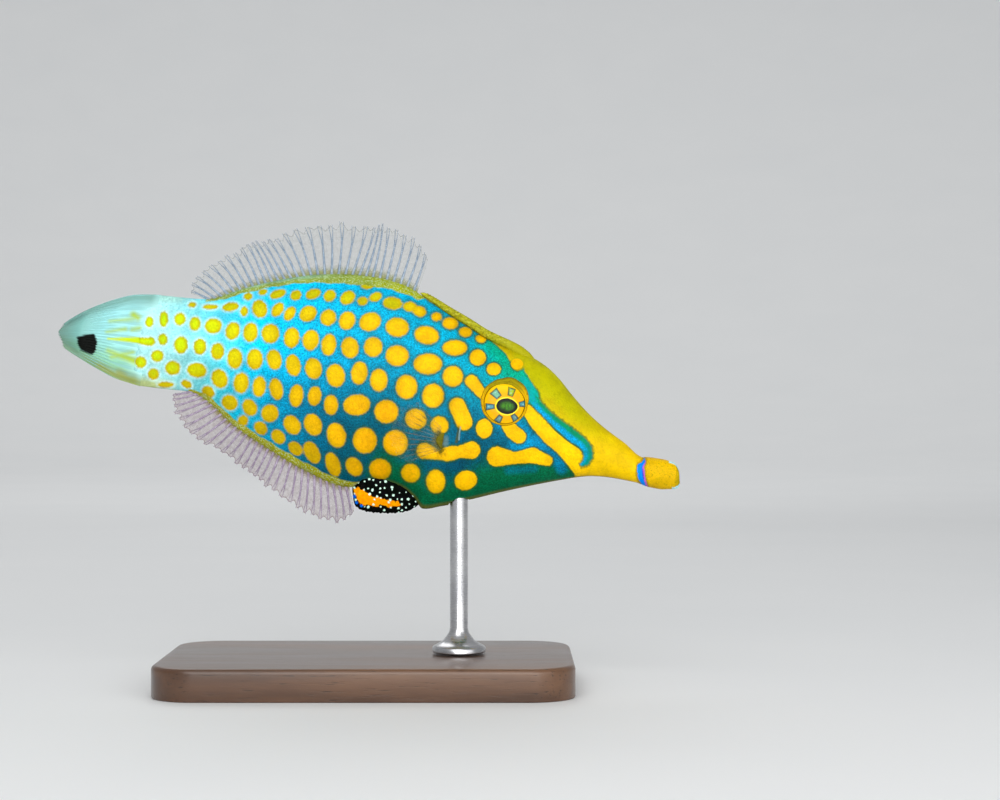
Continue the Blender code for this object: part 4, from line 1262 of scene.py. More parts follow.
@dataclass(frozen=True)
class EyeFinish(Finish):
    """A glossy orange-yellow iris with six blue-grey bars round a dark, pointed pupil."""

    iris: Colour = (0.90, 0.43, 0.0)
    iris_deep: Colour = (0.90, 0.34, 0.0)
    iris_light: Colour = (0.95, 0.57, 0.0)
    line: Colour = (0.30, 0.16, 0.0)
    inner_ring: Colour = (1.0, 0.80, 0.02)
    bar: Colour = (0.01, 0.05, 0.05)
    bar_low: Colour = (0.115, 0.23, 0.24)
    bar_side: Colour = (0.07, 0.28, 0.34)
    bar_top: Colour = (0.17, 0.43, 0.27)
    bar_leaf: Colour = (0.33, 0.48, 0.02)
    frost: Colour = (0.50, 0.85, 0.85)
    pupil: Colour = (0.001, 0.003, 0.001)
    pupil_reflection: Colour = (0.05, 0.24, 0.005)

    def material(self) -> Material:
        """Builds the eye's material.

        Returns:
            The material.
        """
        g = Graph("eye_iris")
        fine = g.noise(g.place(), 2600, 3, 0.6)
        rays = g.noise(g.both(g.times("bearing", 9.0), "reach"), 1.6, 3, 0.6)
        iris = g.over(self.iris, self.iris_deep, rays, 0.35, 0.65, 0.6)
        iris = g.over(iris, self.iris_light, "glow", 1.2, 2.6)
        iris = g.over(iris, self.iris_light, "reach", 2.5, 3.0, 0.5)
        iris = g.over(iris, self.line, "reach", 3.02, 3.18)
        bars = g.torn("bars", rays, 0.12)
        iris = g.over(iris, (0.10, 0.09, 0.01), bars, 0.16, 0.02, 0.7)
        light = g.over(self.bar_low, self.bar_side, "glow", -1.6, -0.4)
        light = g.over(light, self.bar_top, "glow", 0.4, 1.2)
        light = g.within(light, self.bar_leaf, 1.0, ("bearing", 2.0, 1.5), ("glow", 0.6, 1.3))
        light = g.over(light, self.frost, fine, 0.5, 0.7, 0.5)
        bar = g.over(self.bar, light, g.torn(bars, fine, 0.5), 0.04, -0.30)
        iris = g.over(iris, bar, bars, 0.05, -0.05)
        pupil = g.torn("pupil", fine, 0.1)
        iris = g.over(iris, self.inner_ring, pupil, 0.26, 0.14)
        # painted reflection: a green glint inside the dark pupil
        glow = g.times(g.rise(pupil, -0.25, -1.05), g.rise(fine, 0.3, 0.65, 0.3, 1.0))
        deep = g.mix(glow, self.pupil, self.pupil_reflection)
        iris = g.over(iris, deep, pupil, 0.05, -0.03)
        g.surface(Base_Color=iris, Roughness=0.35, Normal=g.bump(rays, 0.05, 0.3))
        g.surface(Coat_Weight=0.1, Coat_Roughness=0.05, Specular_IOR_Level=0.08)
        return g.material


@dataclass(frozen=True)
class RimFinish(Finish):
    """The finely wrinkled skin of the orbit, olive above the eye and orange below it, with painted
    shade in its crease lines and along its edges.
    """

    top: Colour = (0.33, 0.26, 0.0)
    foot: Colour = (0.70, 0.40, 0.0)
    crease_shade_and_mottle: Colour = (0.13, 0.09, 0.0)

    def material(self) -> Material:
        """Builds the orbit's material.

        Returns:
            The material.
        """
        g = Graph("orbit_rim")
        place = g.place()
        fine = g.noise(place, 2400, 3, 0.6)
        grains = g.cells(place, 3600)
        folds = g.math("SINE", g.times("inner", 9.0))
        colour = g.over(self.foot, self.top, "brow", 0.35, 0.85)
        colour = g.over(colour, self.crease_shade_and_mottle, fine, 0.5, 0.7, 0.45)
        # painted shade along the rim's inner and outer edges, where it meets the eyeball and the
        # flank
        colour = g.over(colour, self.crease_shade_and_mottle, g.math("ABSOLUTE", "inner"), 0.6, 0.95, 0.75)
        # painted shade in the crease lines of the folds
        colour = g.over(colour, self.crease_shade_and_mottle, folds, 0.55, 0.95, 0.35)
        normal = g.bump(folds, 0.05, 0.5, g.bump(grains, 0.07, 0.6))
        g.surface(Base_Color=colour, Roughness=0.5, Normal=normal, Specular_IOR_Level=0.08)
        return g.material


@dataclass
class Eye:
    """One eyeball with the raised rim of its orbit."""

    side: Side
    radius: float = 3.3
    proud: float = 0.5            # how far its middle stands out of the flank
    sag: float = 0.42             # how much lower its edge is than its middle
    drop: float = 0.6             # how far its edge turns in
    deep: float = 2.6             # how far it goes on inside the head
    middle: tuple[float, float] = (0.35, -0.5)    # the pupil, forward and up of the middle
    pupil_long: float = 3.35
    pupil_tall: float = 2.45
    bars: Points = ((131, 1.85, 3.2, 0.46), (73, 1.7, 2.95, 0.38), (8.5, 1.95, 2.95, 0.33),
                    (-56, 1.55, 2.65, 0.34), (-123, 1.75, 2.85, 0.34), (181, 1.95, 3.25, 0.31))
    rim_inner: float = 3.2
    rim_brow: float = 0.38        # how far the brow hangs over the ball
    rim_outer: float = 3.68
    rim_lift: float = 0.2
    rim_height: float = 0.16
    brow_height: float = 0.3
    brow_turn: float = 0.35       # how far the brow lies towards the snout
    brow_reach: float = 0.35      # how much wider the rim is there
    finish: EyeFinish = field(default_factory=EyeFinish)
    rim_finish: RimFinish = field(default_factory=RimFinish)

    def __post_init__(self) -> None:
        """Works out the eye's place and axes from the flank."""
        self.label = self.side.name.lower()
        self.surface, self.normal = BODY.flank(*EYE_PLACE, self.side)
        forward = np.cross((0.0, 0.0, 1.0), self.normal)
        self.forward = forward / np.linalg.norm(forward) * math.copysign(1, forward[0])
        upward = np.cross(self.normal, self.forward)
        self.upward = upward * math.copysign(1, upward[2])

    def build(self) -> list[Object]:
        """Builds the ball and the rim."""
        return [self.ball(), self.rim()]

    def ball(self) -> Object:
        """Shapes the eyeball, with its poles looking out sideways.

        Returns:
            The eyeball.
        """
        eye = added(f"eyeball_{self.label}", bpy.ops.mesh.primitive_uv_sphere_add,
                    segments=144, ring_count=110, radius=1)
        a, b, out = points_of(eye).T
        reach = np.hypot(a, b)
        cap = self.proud - self.sag * reach ** 2 - self.drop * (
            1 - np.sqrt(np.clip(1 - reach ** 8, 0, 1)))
        back = self.proud - self.sag - self.drop + self.deep * out
        height = np.where(out > 0, cap, back)
        a, b = a * self.radius, b * self.radius
        set_points(eye, self.surface + MM * (a[:, None] * self.forward + b[:, None] * self.upward
                                             + height[:, None] * self.normal))
        mark(eye, "reach", reach * self.radius)
        mark(eye, "glow", b)
        a, b = a - self.middle[0], b - self.middle[1]
        mark(eye, "bearing", np.abs(np.arctan2(b, a)))
        point = 1 - 0.22 * np.clip(a / (self.pupil_long / 2), 0, 1) ** 2
        pupil = Sheet(a, b / point).oval((0, 0, self.pupil_long, self.pupil_tall), -4.0)
        mark(eye, "pupil", np.where(out > 0, pupil, 5.0))
        mark(eye, "bars", np.where(out > 0, self.bar_gap(a, b), 5.0))
        outward(eye)
        return hang(eye, self.finish, "eye", f"eye_{self.label}")

    def bar_gap(self, a: Array, b: Array) -> Array:
        """Measures how far points of the iris are from its blue-grey bars.

        Args:
            a: distance in front of the pupil's middle.
            b: distance above it.

        Returns:
            The distance from the nearest bar's edge, below 0 inside it.
        """
        gap = np.full(a.shape, 5.0)
        for angle, low, high, half in self.bars:
            turn = math.radians(angle)
            along = a * math.cos(turn) + b * math.sin(turn)
            across = np.abs(b * math.cos(turn) - a * math.sin(turn))
            width = half + 0.16 * (along - low)
            ends = np.abs(along - (low + high) / 2) - (high - low) / 2
            gap = np.minimum(gap, np.maximum(ends, across - width))
        return gap

    def rim(self) -> Object:
        """Shapes a ring into the orbit's rim, with a brow above the eye.

        Returns:
            The rim.
        """
        rim = added(f"orbit_rim_{self.label}", bpy.ops.mesh.primitive_torus_add,
                    major_segments=160, minor_segments=28, major_radius=1, minor_radius=0.25)
        x, y, z = points_of(rim).T
        turn, lift = np.arctan2(y, x), z / 0.25
        outwards = (np.hypot(x, y) - 1) / 0.25
        brow = ease(np.sin(turn + self.brow_turn), 0.4, 1.0)
        inner = self.rim_inner - self.rim_brow * brow
        outer = self.rim_outer + self.rim_lift * np.sin(turn) + 0.03 * np.sin(turn * 11)
        outer = outer + self.brow_reach * ease(np.cos(turn - 0.85), 0.6, 1.0)
        reach = inner + (outer - inner) * (outwards + 1) / 2
        a, b = reach * np.cos(turn), reach * np.sin(turn)
        wrinkles = 0.03 * np.sin(turn * 37) * np.sin(turn * 23 + 1.0)
        crown = self.rim_height + self.brow_height * brow + wrinkles
        height = np.where(lift > 0, lift * crown, lift * (1.0 - 0.75 * brow))
        plane = self.surface + MM * (a[:, None] * self.forward + b[:, None] * self.upward)
        s, _, v = fish(plane)
        flank = world(s, self.side.value * BODY.side_at(s, v), v)
        set_points(rim, flank + MM * (height[:, None] - 0.06) * self.normal)
        mark(rim, "brow", np.sin(turn))
        mark(rim, "inner", -outwards)
        outward(rim)
        return hang(rim, self.rim_finish, "skin_head")


@dataclass(frozen=True)
class ToothFinish(Finish):
    """Cream enamel, mottled with brown."""

    def material(self) -> Material:
        """Builds the teeth's material.

        Returns:
            The material.
        """
        g = Graph("tooth_enamel")
        fine = g.noise(g.place(), 3000, 3)
        colour = g.over((0.85, 0.80, 0.62), (0.55, 0.42, 0.22), fine, 0.35, 0.7, 0.6)
        g.surface(Base_Color=colour, Roughness=0.25, Coat_Weight=0.4)
        return g.material


@dataclass
class Teeth:
    """A row of small cutting teeth in each jaw, leaning into the gape."""

    per_jaw: int = 6
    width: float = 0.30
    length: float = 0.42
    gape_height: float = -0.4
    gape_half: float = 0.33
    row_start: float = 0.62
    row_curve: float = 0.5
    row_half: float = 0.72
    finish: ToothFinish = field(default_factory=ToothFinish)

    def tooth(self) -> Object:
        """Shapes one chisel-edged tooth that stands at the origin.

        Returns:
            The tooth.
        """
        tooth = added("tooth", bpy.ops.mesh.primitive_cube_add, size=1,
                      scale=(0.5 * self.width * MM, self.width * MM, self.length * MM))
        settle(tooth)
        with editing(tooth):
            bpy.ops.mesh.bevel(offset=0.06 * MM, segments=2, affect="EDGES")
            bpy.ops.mesh.subdivide(number_cuts=1, smoothness=0.4)
        local = points_of(tooth)
        edge = ease(local[:, 2] / (self.length * MM), 0.0, 0.5)
        local[:, 0] *= 1 - 0.7 * edge
        set_points(tooth, local)
        return tooth

    def build(self) -> Object:
        """Copies the tooth along both jaws.

        Returns:
            The teeth as one piece.
        """
        model = self.tooth()
        row = []
        for jaw in (1, -1):
            for k in range(self.per_jaw):
                share = (k + 0.5) / self.per_jaw * 2 - 1
                copy = twin(model, f"tooth_{k}_{jaw}")
                root = world(self.row_start + self.row_curve * share ** 2, self.row_half * share,
                             self.gape_height + jaw * (self.gape_half - 0.02))
                turn = Matrix.Rotation(PITCH + jaw * 0.25, 4, "Y")
                flip = Matrix.Rotation(math.pi, 4, "Y") if jaw > 0 else Matrix.Identity(4)
                fan = Matrix.Rotation(share * 0.6 * jaw, 4, "Z")
                copy.data.transform(Matrix.Translation(Vector(root)) @ turn @ flip @ fan)
                row.append(copy)
        bpy.data.objects.remove(model)
        teeth = joined("teeth", row)
        return hang(teeth, self.finish, "lips", angle=40)


@dataclass(frozen=True)
class SpineFinish(Finish):
    """Rough olive bone, mottled and pitted, darker low down with painted shade, and coloured like the
    nape at its front.
    """

    base: Colour = (0.36, 0.34, 0.003)
    light: Colour = (0.46, 0.46, 0.03)
    dark: Colour = (0.20, 0.18, 0.003)
    nape: Colour = (0.40, 0.37, 0.002)

    def material(self) -> Material:
        """Builds the spine's material.

        Returns:
            The material.
        """
        g = Graph("spine_bone")
        place = g.place()
        grain = g.noise(g.place((1, 2.5, 2.5)), 900, 4, 0.6)
        grains = g.cells(place, 3200)
        colour = g.over(self.base, self.light, grain, 0.4, 0.65)
        colour = g.over(colour, self.dark, grains, 0.5, 0.8, 0.7)
        # painted shade: darker low down, where the spine lies on the nape
        colour = g.over(colour, self.dark, "low", 0.3, 1.0, 0.5)
        colour = g.over(colour, self.nape, "root", 33.0, 28.5)
        normal = g.bump(grains, 0.09, 0.7, g.bump(grain, 0.12, 0.5))
        g.surface(Base_Color=colour, Roughness=0.55, Normal=normal, Specular_IOR_Level=0.12)
        return g.material


@dataclass
class DorsalSpine:
    """The first dorsal spine, folded back along the nape, with rows of small barbs."""

    path: Points = ((25.6, -1.2, 0.35), (26.7, -0.78, 0.75), (27.9, -0.3, 0.95),
                    (29.3, 0.2, 0.92), (31.2, 0.52, 0.82), (33.5, 0.62, 0.73),
                    (36.5, 0.62, 0.67), (39.5, 0.58, 0.62), (42, 0.52, 0.56),
                    (44.4, 0.36, 0.46), (45.5, 0.25, 0.28), (46, 0.15, 0.05))
    barbs: int = 30
    barb_length: float = 0.42
    barb_radius: float = 0.15
    finish: SpineFinish = field(default_factory=SpineFinish)

    def build(self) -> Object:
        """Lays a bar along the nape and sets the barbs on its upper sides.

        Returns:
            The spine.
        """
        s = np.linspace(self.path[0][0], self.path[-1][0], 90)
        lift = Line(tuple((p[0], p[1]) for p in self.path)).at(s)
        radii = Line(tuple((p[0], p[2]) for p in self.path)).at(s)
        line = world(s, 0.0, BODY.top.at(s) + lift)
        bar = stem("spine_bar", 28, 90)
        shaft = laid(bar, "shaft", line, radii)
        bpy.data.objects.remove(bar)
        parts = [shaft]
        point = stem("barb_bar", 8, 3)
        for k in range(self.barbs):
            at = 0.26 + 0.70 * (k + 0.5) / self.barbs
            centre = np.array([np.interp(at, np.linspace(0, 1, 90), line[:, i])
                               for i in range(3)])
            radius = float(np.interp(at, np.linspace(0, 1, 90), radii))
            for side in (1, -1):
                out = np.array((0.0, side * 0.62, 0.78))
                root = centre + out * (radius - 0.12) * MM
                tip = root + (out * 0.75 + np.array((0.66, 0, -0.15))) * self.barb_length * MM
                parts.append(laid(point, f"barb_{k}_{side}", np.linspace(root, tip, 5),
                                  self.barb_radius * np.array((1, 0.85, 0.6, 0.35, 0.06))))
        bpy.data.objects.remove(point)
        spine = joined("dorsal_spine_rough", parts)
        s, _, v = fish(points_of(spine))
        # how low on the spine each point lies, which sets its painted shade
        mark(spine, "low", (BODY.top.at(s) + 0.5 - v) / 0.6)
        mark(spine, "root", s)
        return hang(spine, self.finish, "spine", "dorsal_spine", angle=50)


@dataclass(frozen=True)
class FilmFinish(Finish):
    """Thin, half clear fin skin, more solid towards its root."""

    name: str
    tint: Colour
    root: Colour
    clear: float = 0.2            # how solid the film is between the rays
    solid: float = 0.8            # how solid it is at the root
    edge: float = 0.15            # how much more solid its outer edge is

    def material(self) -> Material:
        """Builds the film's material.

        Returns:
            The material.
        """
        g = Graph(self.name)
        fine = g.noise(g.place(), 1800, 3, 0.6)
        out = g.math("ADD", "out", g.times(fine, 0.16))
        near = g.rise(out, 0.34, 0.1)
        colour = g.mix(near, self.tint, self.root)
        veil = g.rise(fine, 0.3, 0.7, self.clear * 0.7, self.clear * 1.3)
        edge = g.rise("out", 0.96, 0.99, 0.0, self.edge)
        solid = g.math("ADD", g.math("ADD", veil, edge),
                       g.times(near, self.solid - self.clear))
        g.surface(Base_Color=colour, Roughness=0.4, Alpha=solid,
                  Normal=g.bump(fine, 0.04, 0.5), Specular_IOR_Level=0.3)
        return g.material


@dataclass(frozen=True)
class RayFinish(Finish):
    """Soft, jointed fin rays."""

    name: str
    base: Colour
    light: Colour
    joint: Colour
    solid: float = 1.0

    def material(self) -> Material:
        """Builds the rays' material.

        Returns:
            The material.
        """
        g = Graph(self.name)
        fine = g.noise(g.place(), 2200, 3, 0.6)
        joints = g.math("SINE", g.times("out", 170.0))
        beads = g.times(g.rise(joints, 0.3, 0.9), g.rise("out", 0.4, 0.7))
        colour = g.over(self.base, self.light, fine, 0.4, 0.65)
        colour = g.mix(g.times(beads, 0.8), colour, self.joint)
        g.surface(Base_Color=colour, Roughness=0.4, Normal=g.bump(joints, 0.03, 0.4),
                  Alpha=self.solid, Specular_IOR_Level=0.4)
        return g.material


@dataclass(kw_only=True)
class RayedFin:
    """A fin of soft, forked rays with a thin film between them, laid out by its own point()."""

    name: str
    node: str
    film: FilmFinish
    bone: RayFinish
    rays: int
    across: tuple[float, ...] = (0.0, 1.0, 0.0)   # out of the fin's face
    crowd: float = 0.0            # how much closer the rays stand towards the rear
    ray_root: float = 0.23        # a ray's radius where it leaves the body
    ray_fork: float = 0.15        # its radius where it forks
    ray_tip: float = 0.04
    fork: float = 0.58            # how far out it forks
    incised: float = 0.09         # how far the film draws back between the rays' tips
    film_thickness: float = 0.06

    def point(self, t: Array, r: Array) -> Array:
        """Finds a place on the fin.

        Args:
            t: share of the way along its root, front to rear.
            r: share of the way out along the rays.

        Returns:
            The points in metres.
        """
        raise NotImplementedError

    def along(self, count: Array) -> Array:
        """Returns the share of the root at which a ray stands, by its number."""
        share = (np.asarray(count, float) + 0.5) / self.rays
        return share * (1 + self.crowd - self.crowd * share)

    def reach(self, count: Array) -> Array:
        """Returns how much of its full length a ray has, by its number."""
        count = np.asarray(count, float)
        return 1 - 0.022 * (1.8 + np.sin(count * 2.7) + 0.8 * np.sin(count * 4.9 + 1.0))

    def build(self) -> list[Object]:
        """Builds the film and the rays."""
        return [self.build_film(), self.build_rays()]

    def build_film(self) -> Object:
        """Shapes a grid into the film, which draws back a little between the rays' tips.

        Returns:
            The film.
        """
        film = added(f"{self.name}_film", bpy.ops.mesh.primitive_grid_add,
                     x_subdivisions=self.rays * 6, y_subdivisions=26, size=1)
        local = points_of(film)
        r = local[:, 1] + 0.5
        count = (local[:, 0] + 0.5) * self.rays - 0.5
        between = np.sin(math.pi * count) ** 2
        frayed = self.reach(count) * (0.99 - self.incised * between)
        points = self.point(self.along(count), r * frayed)
        ripple = 0.07 * MM * np.cos(2 * math.pi * count) * r
        set_points(film, points + np.outer(ripple, self.across))
        mark(film, "out", r)
        skin = film.modifiers.new("thickness", "SOLIDIFY")
        skin.thickness = self.film_thickness * MM
        skin.offset = 0
        apply_modifiers(film)
        outward(film)
        return hang(film, self.film, "fin_film", self.node, angle=80)

    def build_rays(self) -> Object:
        """Lays tapered bars along each ray and its two branches and joins them.

        Returns:
            The rays as one piece.
        """
        bar = stem("ray_bar", 8, 14)
        share = np.linspace(0, 1, 15)
        rays = []
        for k in range(self.rays):
            whole = self.reach(k)
            for side, low, high in ((0, 0.0, self.fork), (1, self.fork - 0.1, 1.0),
                                    (-1, self.fork - 0.1, 1.0)):
                r = low + (high - low) * share
                spread = side * 0.16 * ease(r, self.fork - 0.1, 1.0)
                line = self.point(self.along(k + spread), r * whole)
                thick = self.ray_root + (self.ray_fork - self.ray_root) * (r / self.fork)
                fine = self.ray_tip + (0.75 * self.ray_fork - self.ray_tip) * ease(
                    r, 1.0, self.fork)
                radii = fine if side else thick
                ray = laid(bar, f"ray_{k}_{side}", line, radii, self.across)
                mark(ray, "out", low + (high - low) * np.clip(points_of(bar)[:, 2], 0, 1))
                rays.append(ray)
        bpy.data.objects.remove(bar)
        rays = joined(f"{self.name}_rays", rays)
        return hang(rays, self.bone, "fin_film", angle=60)


@dataclass(kw_only=True)
class MedianFin(RayedFin):
    """The soft dorsal or anal fin, which waves from side to side."""

    edge: Edge
    front: float
    rear: float
    wave: float
    waves: float
    phase: float
    length: Line
    lean: Line
    sink: float = 0.35            # how far the rays start inside the ridge
    curl: float = 6.0             # degrees that a ray bends back along its length

    def point(self, t: Array, r: Array) -> Array:
        """Finds a place on the fin.

        Args:
            t: share of the way along its root, front to rear.
            r: share of the way out along the rays.

        Returns:
            The points in metres.
        """
        line = BODY.top if self.edge is Edge.BACK else BODY.foot
        s_root = self.front + (self.rear - self.front) * t
        v_root = line.at(s_root) - self.edge.value * self.sink
        reach = (self.length.at(t) + self.sink) * r
        angle = np.radians(self.lean.at(t) + self.curl * (r - 0.5) * r)
        beat = np.sin(2 * math.pi * self.waves * t + self.phase)
        y = self.wave * beat * r ** 1.5
        return world(s_root + np.sin(angle) * reach, y,
                     v_root + self.edge.value * np.cos(angle) * reach)


@dataclass(frozen=True)
class TailFinish(Finish):
    """Pale, finely rayed fin skin with yellow streaks and one black blotch."""

    root: Colour = (0.50, 0.92, 0.90)
    pale: Colour = (0.37, 0.78, 0.80)
    middle: Colour = (0.26, 0.54, 0.49)
    tip: Colour = (0.16, 0.27, 0.21)
    rim: Colour = (0.16, 0.34, 0.29)
    low_rim: Colour = (0.19, 0.29, 0.12)
    groove: Colour = (0.24, 0.50, 0.48)
    yellow: Colour = (0.55, 0.70, 0.002)
    faint: Colour = (0.40, 0.56, 0.05)
    brown: Colour = (0.28, 0.31, 0.06)
    black: Colour = (0.001, 0.002, 0.001)

    def material(self) -> Material:
        """Builds the tail fin's material.

        Returns:
            The material.
        """
        g = Graph("tail_film")
        fine = g.noise(g.place(), 1500, 3, 0.6)
        lines = g.noise(g.both(g.times("across", 90.0), g.times("along", 3.0)), 1.0, 4, 0.65)
        colour = g.over(self.root, self.pale, "along", 0.0, 0.3)
        along = g.torn("along", lines, 0.4)
        colour = g.over(colour, self.middle, along, 0.42, 0.82)
        colour = g.over(colour, self.tip, along, 0.76, 0.98)
        colour = g.within(colour, g.tinted(colour, (0.78, 0.80, 0.52)), 1.0,
                          ("across", 0.5, 0.85), ("along", 0.0, 0.3))
        rim = g.math("ABSOLUTE", g.math("SUBTRACT", "across", 0.5))
        colour = g.within(colour, g.over(self.rim, self.low_rim, "across", 0.6, 0.9), 1.0,
                          (rim, 0.30, 0.46, 0.0, 0.9), ("along", 0.0, 0.1, 0.6, 1.0))
        colour = g.within(colour, self.groove, 1.0, ("crest", 0.5, 0.05, 0.0, 0.6),
                          ("along", 0.04, 0.2))
        colour = g.mix(g.times(g.rise(lines, 0.50, 0.66, 0.0, 0.6), g.rise("along", 0.05, 0.2)),
                       colour, self.groove)
        for name, tone, soft, share in (("brown", self.brown, 0.6, 0.8),
                                        ("faint", self.faint, 0.55, 1.0),
                                        ("yellow", self.yellow, 0.18, 1.0)):
            colour = g.over(colour, tone, g.torn(name, lines, 1.0), soft, -soft, share)
        blotch = g.torn("blotch", lines, 1.3)
        colour = g.over(colour, self.black, blotch, 0.14, -0.12)
        clear = g.rise(g.times("along", g.rise(rim, 0.1, 0.5, 0.5, 1.0)), 0.3, 0.95, 1.0, 0.8)
        solid = g.math("MAXIMUM", clear, g.rise(blotch, 0.2, 0.0))
        g.surface(Base_Color=colour, Roughness=0.45, Alpha=solid,
                  Normal=g.bump(lines, 0.05, 0.4, g.bump(fine, 0.04, 0.4)),
                  Specular_IOR_Level=0.1)
        return g.material


@dataclass
class TailFin:
    """The tail fin, half closed, whose rays branch towards their tips."""

    rays: int = 12
    start: float = 85.6
    top: Line = Line(((85.6, 9.62), (86.3, 9.5), (89.4, 8.8), (92.2, 7.5), (95.8, 5.2),
                      (98.4, 3), (100, 1.2)))
    foot: Line = Line(((85.6, -5.05), (89.4, -4.75), (92.7, -3.9), (96, -2.8), (98.8, -1.7),
                       (100, -0.9)))
    end: Line = Line(((0, 99.6), (0.4, 100), (0.75, 99.5), (1, 98.8)))
    root_half: float = 0.85
    film_half: float = 0.12
    ray_half: float = 0.30
    blotch: Points = ((96.9, 0.4), (95.75, 0.95), (94.4, 1.35), (93.75, 0.5), (93.5, -1),
                      (94, -1.9), (95.1, -1.8), (95.95, -1.6), (96.55, -0.75))
    yellow: tuple[Points, ...] = (
        ((85.5, 2.1, 0.6), (87.2, 1.9, 0.5), (88.7, 1.7, 0.36), (92.1, 1.15, 0.12)),)
    faint: tuple[Points, ...] = (
        ((86.6, -1.4, 0.6), (89.6, -1.1, 0.35), (91.7, -0.7, 0.22)),
        ((88.2, 5.3, 0.4), (89, 5.6, 0.5)), ((88.4, 5.2, 0.2), (92.4, 3.8, 0.1)),
        ((87.6, 3.8, 0.28), (88.7, 3.35, 0.22)), ((89.8, 3.2, 0.22), (92.5, 2.1, 0.1)),
        ((87.8, -0.1, 0.2), (89.7, -1, 0.3), (90.9, -1.55, 0.15)))
    brown: tuple[Points, ...] = (
        ((89.2, -3.9, 0.75), (87.8, -4.4, 0.6), (84.7, -4.5, 0.4)),
        ((92.5, -3.3, 0.3), (88.5, -4.6, 0.5), (85, -4.9, 0.5)))
    finish: TailFinish = field(default_factory=TailFinish)

    def crest(self, t: Array, r: Array) -> Array:
        """Gives the height of the rays, each of which forks twice.

        Args:
            t: share of the way down the fin.
            r: share of the way out.

        Returns:
            0 between the rays to 1 on them.
        """
        once, twice, four = (0.5 - 0.5 * np.cos(2 * math.pi * t * self.rays * n)
                             for n in (1, 2, 4))
        first, second = ease(r, 0.25, 0.5), ease(r, 0.6, 0.85)
        return (once * (1 - first) + twice * first * (1 - second) + four * first * second) ** 1.5

    def build(self) -> Object:
        """Shapes a grid into the ribbed fin and gives it its thickness.

        Returns:
            The fin.
        """
        tail = added("tail_fin_rayed", bpy.ops.mesh.primitive_grid_add, x_subdivisions=288,
                     y_subdivisions=110, size=1)
        local = points_of(tail)
        t, r = local[:, 0] + 0.5, local[:, 1] + 0.5
        crest = self.crest(t, r)
        frayed = 0.3 * np.abs(np.sin(math.pi * t * 24)) ** 4 + 0.25 * np.sin(t * 40.0) ** 2
        end = self.end.at(t) - frayed * r
        s = self.start + (end - self.start) * r
        v = self.top.at(s) + (self.foot.at(s) - self.top.at(s)) * t
        fold = 0.22 * np.sin(t * 9.0 + 0.4) * ease(r, 0.15, 0.9)
        set_points(tail, world(s, fold, v))
        root = (self.root_half - self.ray_half) * ease(r, 0.32, 0.0)
        rib = self.film_half + (self.ray_half - self.film_half) * crest * (1 - 0.6 * r)
        half = (rib * (1 - 0.6 * ease(r, 0.8, 1.0)) + root) * (
            1 - 0.6 * ease(np.abs(t - 0.5), 0.40, 0.5))
        group = tail.vertex_groups.new(name="thick")
        for index, weight in enumerate(half / self.root_half):
            group.add([index], float(weight), "REPLACE")
        skin = tail.modifiers.new("thickness", "SOLIDIFY")
        skin.thickness = 2 * self.root_half * MM
        skin.offset = 0
        skin.vertex_group = "thick"
        mark(tail, "along", r)
        mark(tail, "across", t)
        mark(tail, "crest", crest)
        drawing = Sheet(s, v)
        mark(tail, "blotch", drawing.area(self.blotch))
        for name in ("yellow", "faint", "brown"):
            gaps = [drawing.chain(chain)[0] for chain in getattr(self, name)]
            mark(tail, name, np.min(gaps, axis=0))
        apply_modifiers(tail)
        outward(tail)
        return hang(tail, self.finish, "tail_film", "tail_fin", angle=80)


